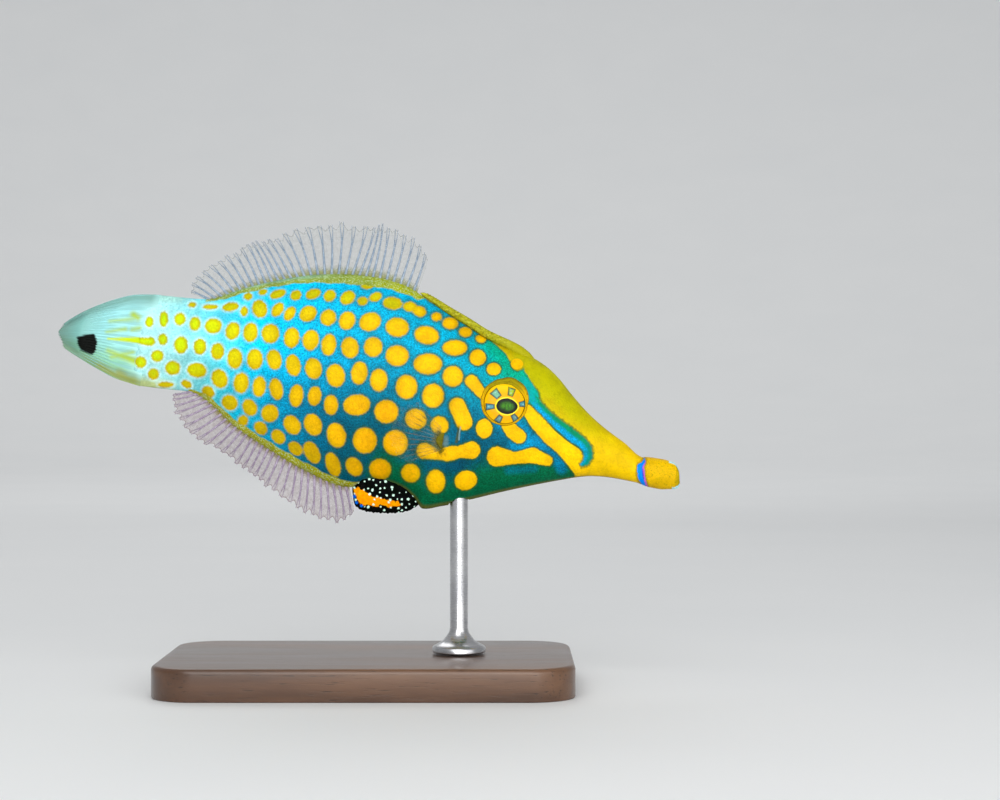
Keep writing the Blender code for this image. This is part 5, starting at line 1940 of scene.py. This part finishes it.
@dataclass(kw_only=True)
class PectoralFin(RayedFin):
    """One pectoral fin: a nearly clear fan on a fleshy lobe."""

    side: Side
    place: tuple[float, float] = (37.7, -2.7)
    root: float = 2.6             # height of the row of ray roots
    fan: tuple[float, float] = (34.0, -34.0)
    flare: float = math.radians(20.0)
    length: Line = Line(((0, 6.2), (0.25, 8.2), (0.5, 8.7), (0.75, 7.8), (1, 5.4)))
    lobe_deep: float = 0.4
    lobe_long: float = 0.6
    lobe_tall: float = 1.35
    lobe_bend: float = 0.6        # how far the lobe's ends reach forward

    def __post_init__(self) -> None:
        """Works out the fin's place and directions from the flank."""
        sign = self.side.value
        self.start, _ = BODY.flank(*self.place, self.side)
        turn = np.array(Matrix.Rotation(PITCH, 3, "Y"))
        self.backward = turn @ np.array((-math.cos(self.flare), sign * math.sin(self.flare), 0.0))
        self.upward = turn @ np.array((0.0, 0.0, 1.0))
        self.outward = np.array((0.0, float(sign), 0.0))

    def point(self, t: Array, r: Array) -> Array:
        """Finds a place on the fin.

        Args:
            t: share of the way down its root.
            r: share of the way out along the rays.

        Returns:
            The points in metres.
        """
        t, r = np.broadcast_arrays(t, 0.06 + 0.94 * np.asarray(r))
        angle = np.radians(self.fan[0] + (self.fan[1] - self.fan[0]) * t)
        reach = (self.length.at(t) + 0.8) * r
        cup = 0.5 * np.sin(math.pi * t) * r * r
        along = np.cos(angle) * reach - 0.8
        above = np.sin(angle) * reach + (0.5 - t) * self.root
        return self.start + MM * (np.outer(along, self.backward) + np.outer(above, self.upward)
                                  + np.outer(cup, self.outward))

    def build(self) -> list[Object]:
        """Builds the film, the rays and the lobe."""
        return [*super().build(), self.build_lobe()]

    def build_lobe(self) -> Object:
        """Shapes the fleshy lobe that carries the rays.

        Returns:
            The lobe.
        """
        lobe = added(f"{self.name}_lobe", bpy.ops.mesh.primitive_uv_sphere_add,
                     segments=56, ring_count=40, radius=1)
        x, y, z = points_of(lobe).T
        along = self.lobe_long * y * (1 - 0.35 * z * z) + 0.1 - self.lobe_bend * z * z
        deep = self.lobe_deep * x * (1 + 0.08 * np.sin(z * 14.0))
        set_points(lobe, self.start + MM * (
            np.outer(deep, self.outward) + np.outer(along, self.backward)
            + np.outer(self.lobe_tall * z, self.upward)))
        mark(lobe, "brow", z * 0.6)
        mark(lobe, "inner", np.zeros(len(z)))
        outward(lobe)
        finish = RimFinish(top=(0.10, 0.10, 0.004), foot=(0.15, 0.13, 0.004),
                           crease_shade_and_mottle=(0.05, 0.08, 0.05))
        return hang(lobe, finish, "fin_film")


@dataclass(frozen=True)
class FlapFinish(Finish):
    """Satin black skin with small mint-white dots, an orange patch and blue rear dots."""

    black: Colour = (0.001, 0.002, 0.001)
    dot: Colour = (0.68, 1.0, 0.82)
    orange: Colour = (1.0, 0.31, 0.0)
    blue: Colour = (0.0, 0.13, 0.75)

    def material(self) -> Material:
        """Builds the flap's material.

        Returns:
            The material.
        """
        g = Graph("flap_skin")
        fine = g.noise(g.place(), 1500, 3, 0.6)
        colour = g.over(self.black, (0.004, 0.003, 0.005), fine, 0.45, 0.7)
        warm = g.over(self.orange, (1.0, 0.40, 0.0), fine, 0.4, 0.65)
        colour = g.over(colour, warm, g.torn("patch", fine, 1.1), 0.1, -0.08)
        colour = g.over(colour, self.blue, g.torn("blue", fine, 0.5), 0.08, -0.06)
        dots = g.torn("dots", g.noise(g.place(), 2600, 2), 0.34)
        colour = g.over(colour, self.dot, dots, 0.05, -0.05)
        bump = g.bump(g.rise(dots, 0.1, -0.15), 0.08, 0.6, g.bump(fine, 0.08, 0.4))
        g.surface(Base_Color=colour, Roughness=0.6, Normal=bump, Specular_IOR_Level=0.02)
        return g.material


@dataclass
class PelvicFlap:
    """The leaf of skin under the belly, spread between the pelvis and the vent."""

    top: Line = Line(((38.5, -12.5), (40, -11.4), (42, -10.4), (45, -10),
                      (48, -10.4), (49.7, -11.6)))
    foot: Line = Line(((38.5, -13.3), (39.4, -14.3), (40.7, -15.1), (43.7, -16),
                       (46.8, -16.4), (48.4, -16.2), (49, -15.6), (49.7, -14.2)))
    half_width: Line = Line(((38.5, 0.45), (41, 1), (45, 1.3), (48, 1.1),
                             (49.7, 0.45)))
    front: float = 38.5
    rear: float = 49.65
    orange: Points = (
        (49.4, -13.4), (48.7, -12.95), (48.1, -13.15), (47.4, -13.25), (46.7, -13.6),
        (46.1, -13.75), (44.8, -13.8), (43.9, -13.75), (43.4, -14.05), (42.9, -13.8),
        (42.1, -13.65), (41.6, -14.05), (42.1, -14.4), (43.4, -14.9), (44.7, -14.8),
        (45.3, -15.3), (46.3, -15.1), (47, -15.4), (47.8, -15.35), (48.4, -14.8),
        (48.8, -14.3), (49.1, -13.9))
    dots: Points = (
        (49.7, -11.8), (49.2, -11.9), (48.8, -11.5), (47.3, -11.2), (46.6, -11.2),
        (45.5, -11.3), (44.7, -11.05), (41.2, -11.95), (40, -12.25), (48.9, -12.1),
        (47.9, -11.75), (46, -11.9), (49.3, -13.05), (47.1, -12.7), (46.4, -12.8),
        (45.25, -12.25), (44.6, -12.05), (43.5, -11.7), (43.4, -12.05), (47.7, -13),
        (46.7, -13.5), (45.15, -12.85), (44, -13.1), (43, -12.85), (42.2, -12.3),
        (45.5, -13.6), (45.8, -14.15), (44.85, -13.7), (43.35, -13.65), (42.3, -13.3),
        (41.6, -13.2), (40.65, -12.95), (39.4, -13.1), (43.5, -14.15), (41.45, -13.95),
        (40.3, -13.65), (45.75, -15), (44.6, -15.05), (43, -14.85), (41.8, -14.7),
        (40.7, -14.35), (39.45, -13.9), (46.5, -15.55), (47.05, -15.65), (43.95, -15.5),
        (41.2, -14.9), (41.65, -15.35), (48.7, -14.9), (49.05, -14))
    blues: Points = ((48.95, -14.45, 0.3), (48.45, -15.25, 0.2), (47.6, -15.6, 0.2))
    dot_size: float = 0.17
    finish: FlapFinish = field(default_factory=FlapFinish)

    def build(self) -> Object:
        """Shapes a sphere into the leaf, with a scalloped lower edge.

        Returns:
            The flap.
        """
        flap = added("belly_flap", bpy.ops.mesh.primitive_uv_sphere_add, segments=300,
                     ring_count=190, radius=1)
        x, y, z = points_of(flap).T
        along = np.arccos(np.clip(z, -1, 1)) / math.pi
        turn = np.arctan2(-y, x)
        s = self.front + (self.rear - self.front) * along
        end = np.sqrt(np.clip(1 - np.abs(2 * along - 1) ** 8, 0, 1))
        top = self.top.at(s)
        foot = self.foot.at(s) + 0.10 * np.abs(np.sin(s * 2.9)) + 0.04 * np.sin(s * 11.0)
        v = (top + foot) / 2 + (top - foot) / 2 * np.cos(turn) * end
        thin = 1 - 0.45 * ease(-np.cos(turn), 0.2, 1.0)
        full = np.sign(np.sin(turn)) * np.abs(np.sin(turn)) ** np.where(np.cos(turn) > 0, 0.5, 1)
        sides = self.half_width.at(s) * full * end * thin * (1 + 0.05 * np.sin(s * 6.0))
        set_points(flap, world(s, sides, v))
        drawing = Sheet(s, v)
        mark(flap, "patch", drawing.area(self.orange))
        mark(flap, "dots", drawing.discs(
            [(*dot, self.dot_size * (0.9 + 0.25 * math.sin(k * 2.3)))
             for k, dot in enumerate(self.dots)]))
        mark(flap, "blue", drawing.discs(self.blues))
        outward(flap)
        return hang(flap, self.finish, "flap", "pelvic_flap")


@dataclass(frozen=True)
class WalnutFinish(Finish):
    """Dark stained walnut under a satin varnish."""

    dark: Colour = (0.035, 0.016, 0.008)
    middle: Colour = (0.085, 0.038, 0.018)
    light: Colour = (0.15, 0.070, 0.032)

    def material(self) -> Material:
        """Builds the wood's material.

        Returns:
            The material.
        """
        g = Graph("walnut")
        place = g.place((22, 150, 150), (0, 0, 0.05))
        warp = g.noise(g.place((12, 40, 40)), 1.0, 2)
        rings = g.noise(g.both(g.times(warp, 2.0), place), 1.0, 2)
        grain = g.noise(place, 1.0, 5, 0.62)
        pores = g.noise(g.place((160, 2600, 2600)), 1.0, 3, 0.7)
        tone = g.math("ADD", g.times(grain, 0.75), g.times(rings, 0.25))
        colour = g.ramp(tone, ((0.30, self.dark), (0.5, self.middle), (0.68, self.light)))
        colour = g.over(colour, (0.012, 0.006, 0.003), pores, 0.60, 0.68, 0.75)
        normal = g.bump(g.rise(pores, 0.62, 0.55), 0.05, 0.35)
        g.surface(Base_Color=colour, Roughness=g.rise(grain, 0.3, 0.7, 0.32, 0.45),
                  Normal=normal)
        g.surface(Coat_Weight=0.5, Coat_Roughness=0.22, Specular_IOR_Level=0.4)
        return g.material


@dataclass(frozen=True)
class SteelFinish(Finish):
    """Turned and brushed steel, with rings left by the tool."""

    def material(self) -> Material:
        """Builds the steel's material.

        Returns:
            The material.
        """
        g = Graph("turned_steel")
        rings = g.noise(g.place((60, 60, 9000)), 1.0, 2)
        wear = g.noise(g.place(), 180, 3)
        colour = g.over((0.62, 0.62, 0.63), (0.50, 0.50, 0.52), wear, 0.35, 0.7)
        g.surface(Base_Color=colour, Metallic=1.0, Roughness=g.rise(rings, 0.3, 0.7, 0.2, 0.34),
                  Normal=g.bump(rings, 0.02, 0.4))
        return g.material


@dataclass
class Stand:
    """A flat walnut base and one turned steel rod, whose top ends in the breast."""

    length: float = 64.0
    width: float = 40.0
    thickness: float = 5.0
    corner: float = 7.0
    edge: float = 0.8
    rod_place: float = 32.8
    rod_radius: float = 1.4
    rod_socket: float = 3.4
    foot_radius: float = 4.2
    foot_height: float = 2.6
    gap: float = 0.3
    wood: WalnutFinish = field(default_factory=WalnutFinish)
    steel: SteelFinish = field(default_factory=SteelFinish)

    def build(self) -> list[Object]:
        """Builds the base and the rod."""
        return [self.base(), self.rod()]

    def base(self) -> Object:
        """Rounds a block's corners and its upper edge.

        Returns:
            The base.
        """
        base = added("walnut_base", bpy.ops.mesh.primitive_cube_add, size=1,
                     location=(0, 0, self.thickness / 2 * MM),
                     scale=(self.length * MM, self.width * MM, self.thickness * MM))
        settle(base)
        self.bevel(base, lambda a, b: abs(a.z - b.z) > self.thickness / 2 * MM,
                   self.corner, 20)
        self.bevel(base, lambda a, b: min(a.z, b.z) > (self.thickness - 0.01) * MM,
                   self.edge, 6)
        self.bevel(base, lambda a, b: max(a.z, b.z) < 0.01 * MM, 0.25, 3)
        return hang(base, self.wood, "stand_wood", "stand_base", angle=30)

    def bevel(self, obj: Object, chosen: Callable[[Vector, Vector], bool],
              offset: float, segments: int) -> None:
        """Rounds the edges of a piece whose two ends pass a test.

        Args:
            obj: the piece.
            chosen: says whether the edge between two points is rounded.
            offset: how far the rounding reaches from the edge.
            segments: faces across it.
        """
        pick(obj)
        bpy.ops.object.mode_set(mode="EDIT")
        bpy.ops.mesh.select_mode(type="EDGE")
        bpy.ops.mesh.select_all(action="DESELECT")
        bpy.ops.object.mode_set(mode="OBJECT")
        verts = obj.data.vertices
        for edge in obj.data.edges:
            a, b = (verts[k].co for k in edge.vertices)
            edge.select = chosen(a, b)
        bpy.ops.object.mode_set(mode="EDIT")
        bpy.ops.mesh.bevel(offset=offset * MM, segments=segments, affect="EDGES", profile=0.5)
        bpy.ops.object.mode_set(mode="OBJECT")

    def rod(self) -> Object:
        """Turns the rod and its foot from one disc, as on a lathe.

        Returns:
            The rod.
        """
        centre = world(self.rod_place, 0, BODY.foot.at(self.rod_place))
        top = centre[2] / MM + self.rod_socket - self.gap
        floor = self.thickness + self.gap
        neck = floor + self.foot_height
        outline = [(self.foot_radius - 0.15, floor), (self.foot_radius, floor + 0.15),
                   (self.foot_radius, floor + 0.7), (self.foot_radius - 0.2, floor + 1.0),
                   (self.foot_radius - 0.8, floor + 1.3), (self.rod_radius + 1.1, neck - 0.75),
                   (self.rod_radius + 0.5, neck), (self.rod_radius + 0.15, neck + 0.55),
                   (self.rod_radius, neck + 1.2), (self.rod_radius, neck + 9.0),
                   (self.rod_radius, top - 0.3), (self.rod_radius - 0.3, top)]
        rod = added("turned_rod", bpy.ops.mesh.primitive_circle_add, vertices=72,
                    radius=outline[0][0] * MM, fill_type="NGON",
                    location=(centre[0], 0, outline[0][1] * MM))
        with editing(rod):
            for (r0, z0), (r1, z1) in zip(outline, outline[1:]):
                rise = {"value": (0, 0, (z1 - z0) * MM)}
                bpy.ops.mesh.extrude_region_move(TRANSFORM_OT_translate=rise)
                bpy.ops.transform.resize(value=(r1 / r0, r1 / r0, 1))
        settle(rod)
        outward(rod)
        return hang(rod, self.steel, "stand_steel", "stand_rod", angle=35)


@dataclass
class Studio:
    """The pale floor, the soft lights and the camera at the photo's angle."""

    floor_radius: float = 3.0
    floor_flat: float = 1.1       # where the floor begins to curve up
    floor_rise: float = 1.6
    camera_place: tuple[float, float, float] = (0.0206, -0.35, 0.0448)
    view_width: float = 0.15674   # what the photo spans at the fish, in metres
    sensor: float = 36.0
    sky: float = 0.4
    wall: tuple[float, float, float] = (0.0, 2.4, 0.5)

    def build(self) -> None:
        """Sets up the floor, the lights, the background and the camera."""
        self.floor()
        middle = (0.0, 0.0, AXIS_HEIGHT * MM)
        self.light("key", (-0.08, -0.62, 0.48), middle, 0.60, 2.5)
        self.light("fill", (0.45, -0.55, 0.16), middle, 0.60, 1.4)
        self.light("rim", (-0.10, 0.55, 0.60), middle, 0.50, 1.3)
        self.light("low", (0.06, -0.42, 0.03), middle, 0.35, 1.3)
        self.light("backdrop", (0.0, 0.9, 1.1), self.wall, 1.2, 7.0)
        background = bpy.data.worlds.new("studio")
        background.use_nodes = True
        shade = background.node_tree.nodes["Background"]
        shade.inputs["Color"].default_value = (0.95, 0.97, 1.0, 1)
        shade.inputs["Strength"].default_value = self.sky
        bpy.context.scene.world = background
        bpy.context.scene.view_settings.view_transform = "Standard"
        self.camera()

    def floor(self) -> None:
        """Lays a round pale sheet whose far edge curves up all round."""
        floor = added("floor", bpy.ops.mesh.primitive_circle_add, vertices=128,
                      radius=self.floor_radius, fill_type="NGON")
        with editing(floor):
            for _ in range(24):
                bpy.ops.mesh.inset(thickness=self.floor_radius / 26)
        points = points_of(floor)
        away = np.linalg.norm(points[:, :2], axis=1)
        rise = np.clip((away - self.floor_flat) / (self.floor_radius - self.floor_flat), 0, 1)
        points[:, 2] = self.floor_rise * rise ** 2.2
        set_points(floor, points)
        g = Graph("pale_floor")
        tone = g.noise(g.place(), 14, 3)
        g.surface(Base_Color=g.mix(tone, (0.82, 0.83, 0.83), (0.86, 0.865, 0.86)), Roughness=0.7)
        floor.data.materials.append(g.material)
        smooth(floor, 60)

    def light(self, name: str, place: tuple[float, float, float],
              aim: tuple[float, float, float], size: float, power: float) -> None:
        """Adds a soft square light.

        Args:
            name: the light's name.
            place: where it hangs, in metres.
            aim: where it looks.
            size: its side, in metres.
            power: its power in watts.
        """
        deselect_all()
        bpy.ops.object.light_add(type="AREA", location=place)
        lamp = bpy.context.object
        lamp.name = name
        lamp.data.size = size
        lamp.data.energy = power
        ahead = Vector(aim) - Vector(place)
        lamp.rotation_euler = ahead.to_track_quat("-Z", "Y").to_euler()

    def camera(self) -> None:
        """Adds the camera, level and square to the fish's side."""
        deselect_all()
        bpy.ops.object.camera_add(location=self.camera_place, rotation=(math.pi / 2, 0, 0))
        camera = bpy.context.object
        camera.data.sensor_width = self.sensor
        camera.data.lens = self.sensor * abs(self.camera_place[1]) / self.view_width
        camera.data.clip_start = 0.01
        bpy.context.scene.camera = camera


def long_fins() -> list[MedianFin]:
    """Gives the soft dorsal and anal fins their places, lengths and finishes.

    Returns:
        The dorsal fin and the anal fin.
    """
    dorsal = MedianFin(
        name="dorsal", node="dorsal_fin", edge=Edge.BACK, front=46.5, rear=78.1, rays=32,
        crowd=0.17, wave=1.2, waves=1.75, phase=0.6,
        length=Line(((0.0, 5.9), (0.05, 7.0), (0.11, 7.9), (0.16, 8.3), (0.21, 8.6), (0.26, 8.5),
                     (0.31, 8.2), (0.36, 8), (0.41, 8.1), (0.46, 7.9), (0.51, 8),
                     (0.56, 7.5), (0.61, 7.4), (0.66, 7.3), (0.74, 7.2), (0.78, 6.3),
                     (0.82, 6), (0.86, 5.8), (0.94, 4.8), (1, 2.8))),
        lean=Line(((0.0, -7), (0.05, -7), (0.11, -4), (0.16, -1), (0.21, 1), (0.26, -4),
                   (0.31, -8), (0.36, -1), (0.41, 8), (0.46, 16), (0.51, 26), (0.56, 36),
                   (0.61, 41), (0.66, 41), (0.70, 38), (0.74, 36), (0.78, 38), (0.82, 42),
                   (0.86, 48), (0.9, 56), (0.94, 63), (1, 78))),
        film=FilmFinish("dorsal_film", (0.34, 0.36, 0.34), (0.24, 0.26, 0.06), clear=0.11,
                        edge=0.3),
        bone=RayFinish("dorsal_ray", (0.22, 0.29, 0.38), (0.36, 0.43, 0.52),
                       (0.14, 0.17, 0.20)))
    anal = MedianFin(
        name="anal", node="anal_fin", edge=Edge.BELLY, front=50.2, rear=77.6, rays=29,
        crowd=0.12, wave=1.1, waves=1.5, phase=2.2,
        length=Line(((0.0, 4.2), (0.04, 5.4), (0.1, 6.3), (0.17, 6.6), (0.24, 6.5), (0.31, 6.1),
                     (0.38, 5.5), (0.45, 5.2), (0.52, 5), (0.58, 4.9), (0.64, 4.7),
                     (0.7, 4.9), (0.75, 5.6), (0.8, 6), (0.85, 5.8), (0.9, 5.2),
                     (0.95, 4.1), (1, 2.6))),
        lean=Line(((0.0, -25), (0.04, -24), (0.1, -21), (0.17, -15), (0.24, -11), (0.31, -6),
                   (0.38, 5), (0.45, 11), (0.52, 13), (0.58, 16), (0.64, 25), (0.7, 32),
                   (0.75, 38), (0.8, 43), (0.85, 49), (0.9, 54), (0.95, 60), (1, 65))),
        film=FilmFinish("anal_film", (0.26, 0.17, 0.18), (0.22, 0.18, 0.03), clear=0.2,
                        edge=0.3),
        bone=RayFinish("anal_ray", (0.28, 0.22, 0.31), (0.42, 0.35, 0.46),
                       (0.20, 0.15, 0.20)))
    return [dorsal, anal]


def pectoral_fin(side: Side) -> PectoralFin:
    """Gives one pectoral fin its side and finishes.

    Args:
        side: the fish's side.

    Returns:
        The fin.
    """
    name = f"pectoral_fin_{side.name.lower()}"
    return PectoralFin(
        name=name, node=name, side=side, rays=11, ray_root=0.10, ray_fork=0.06,
        ray_tip=0.02, incised=0.05, film_thickness=0.05,
        film=FilmFinish("pectoral_film", (0.30, 0.34, 0.22), (0.14, 0.18, 0.05), clear=0.02,
                        solid=0.25, edge=0.02),
        bone=RayFinish("pectoral_ray", (0.32, 0.22, 0.03), (0.40, 0.29, 0.05),
                       (0.24, 0.16, 0.02), solid=0.14))


def main() -> None:
    """Builds the dressed fish on its stand and reports each piece."""
    logging.basicConfig(level=logging.INFO, format="%(name)s %(message)s")
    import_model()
    Skin().build()
    Teeth().build()
    DorsalSpine().build()
    for side in Side:
        Eye(side).build()
        pectoral_fin(side).build()
    for fin in long_fins():
        fin.build()
    TailFin().build()
    PelvicFlap().build()
    Stand().build()
    Studio().build()


if __name__ == "__main__":
    main()
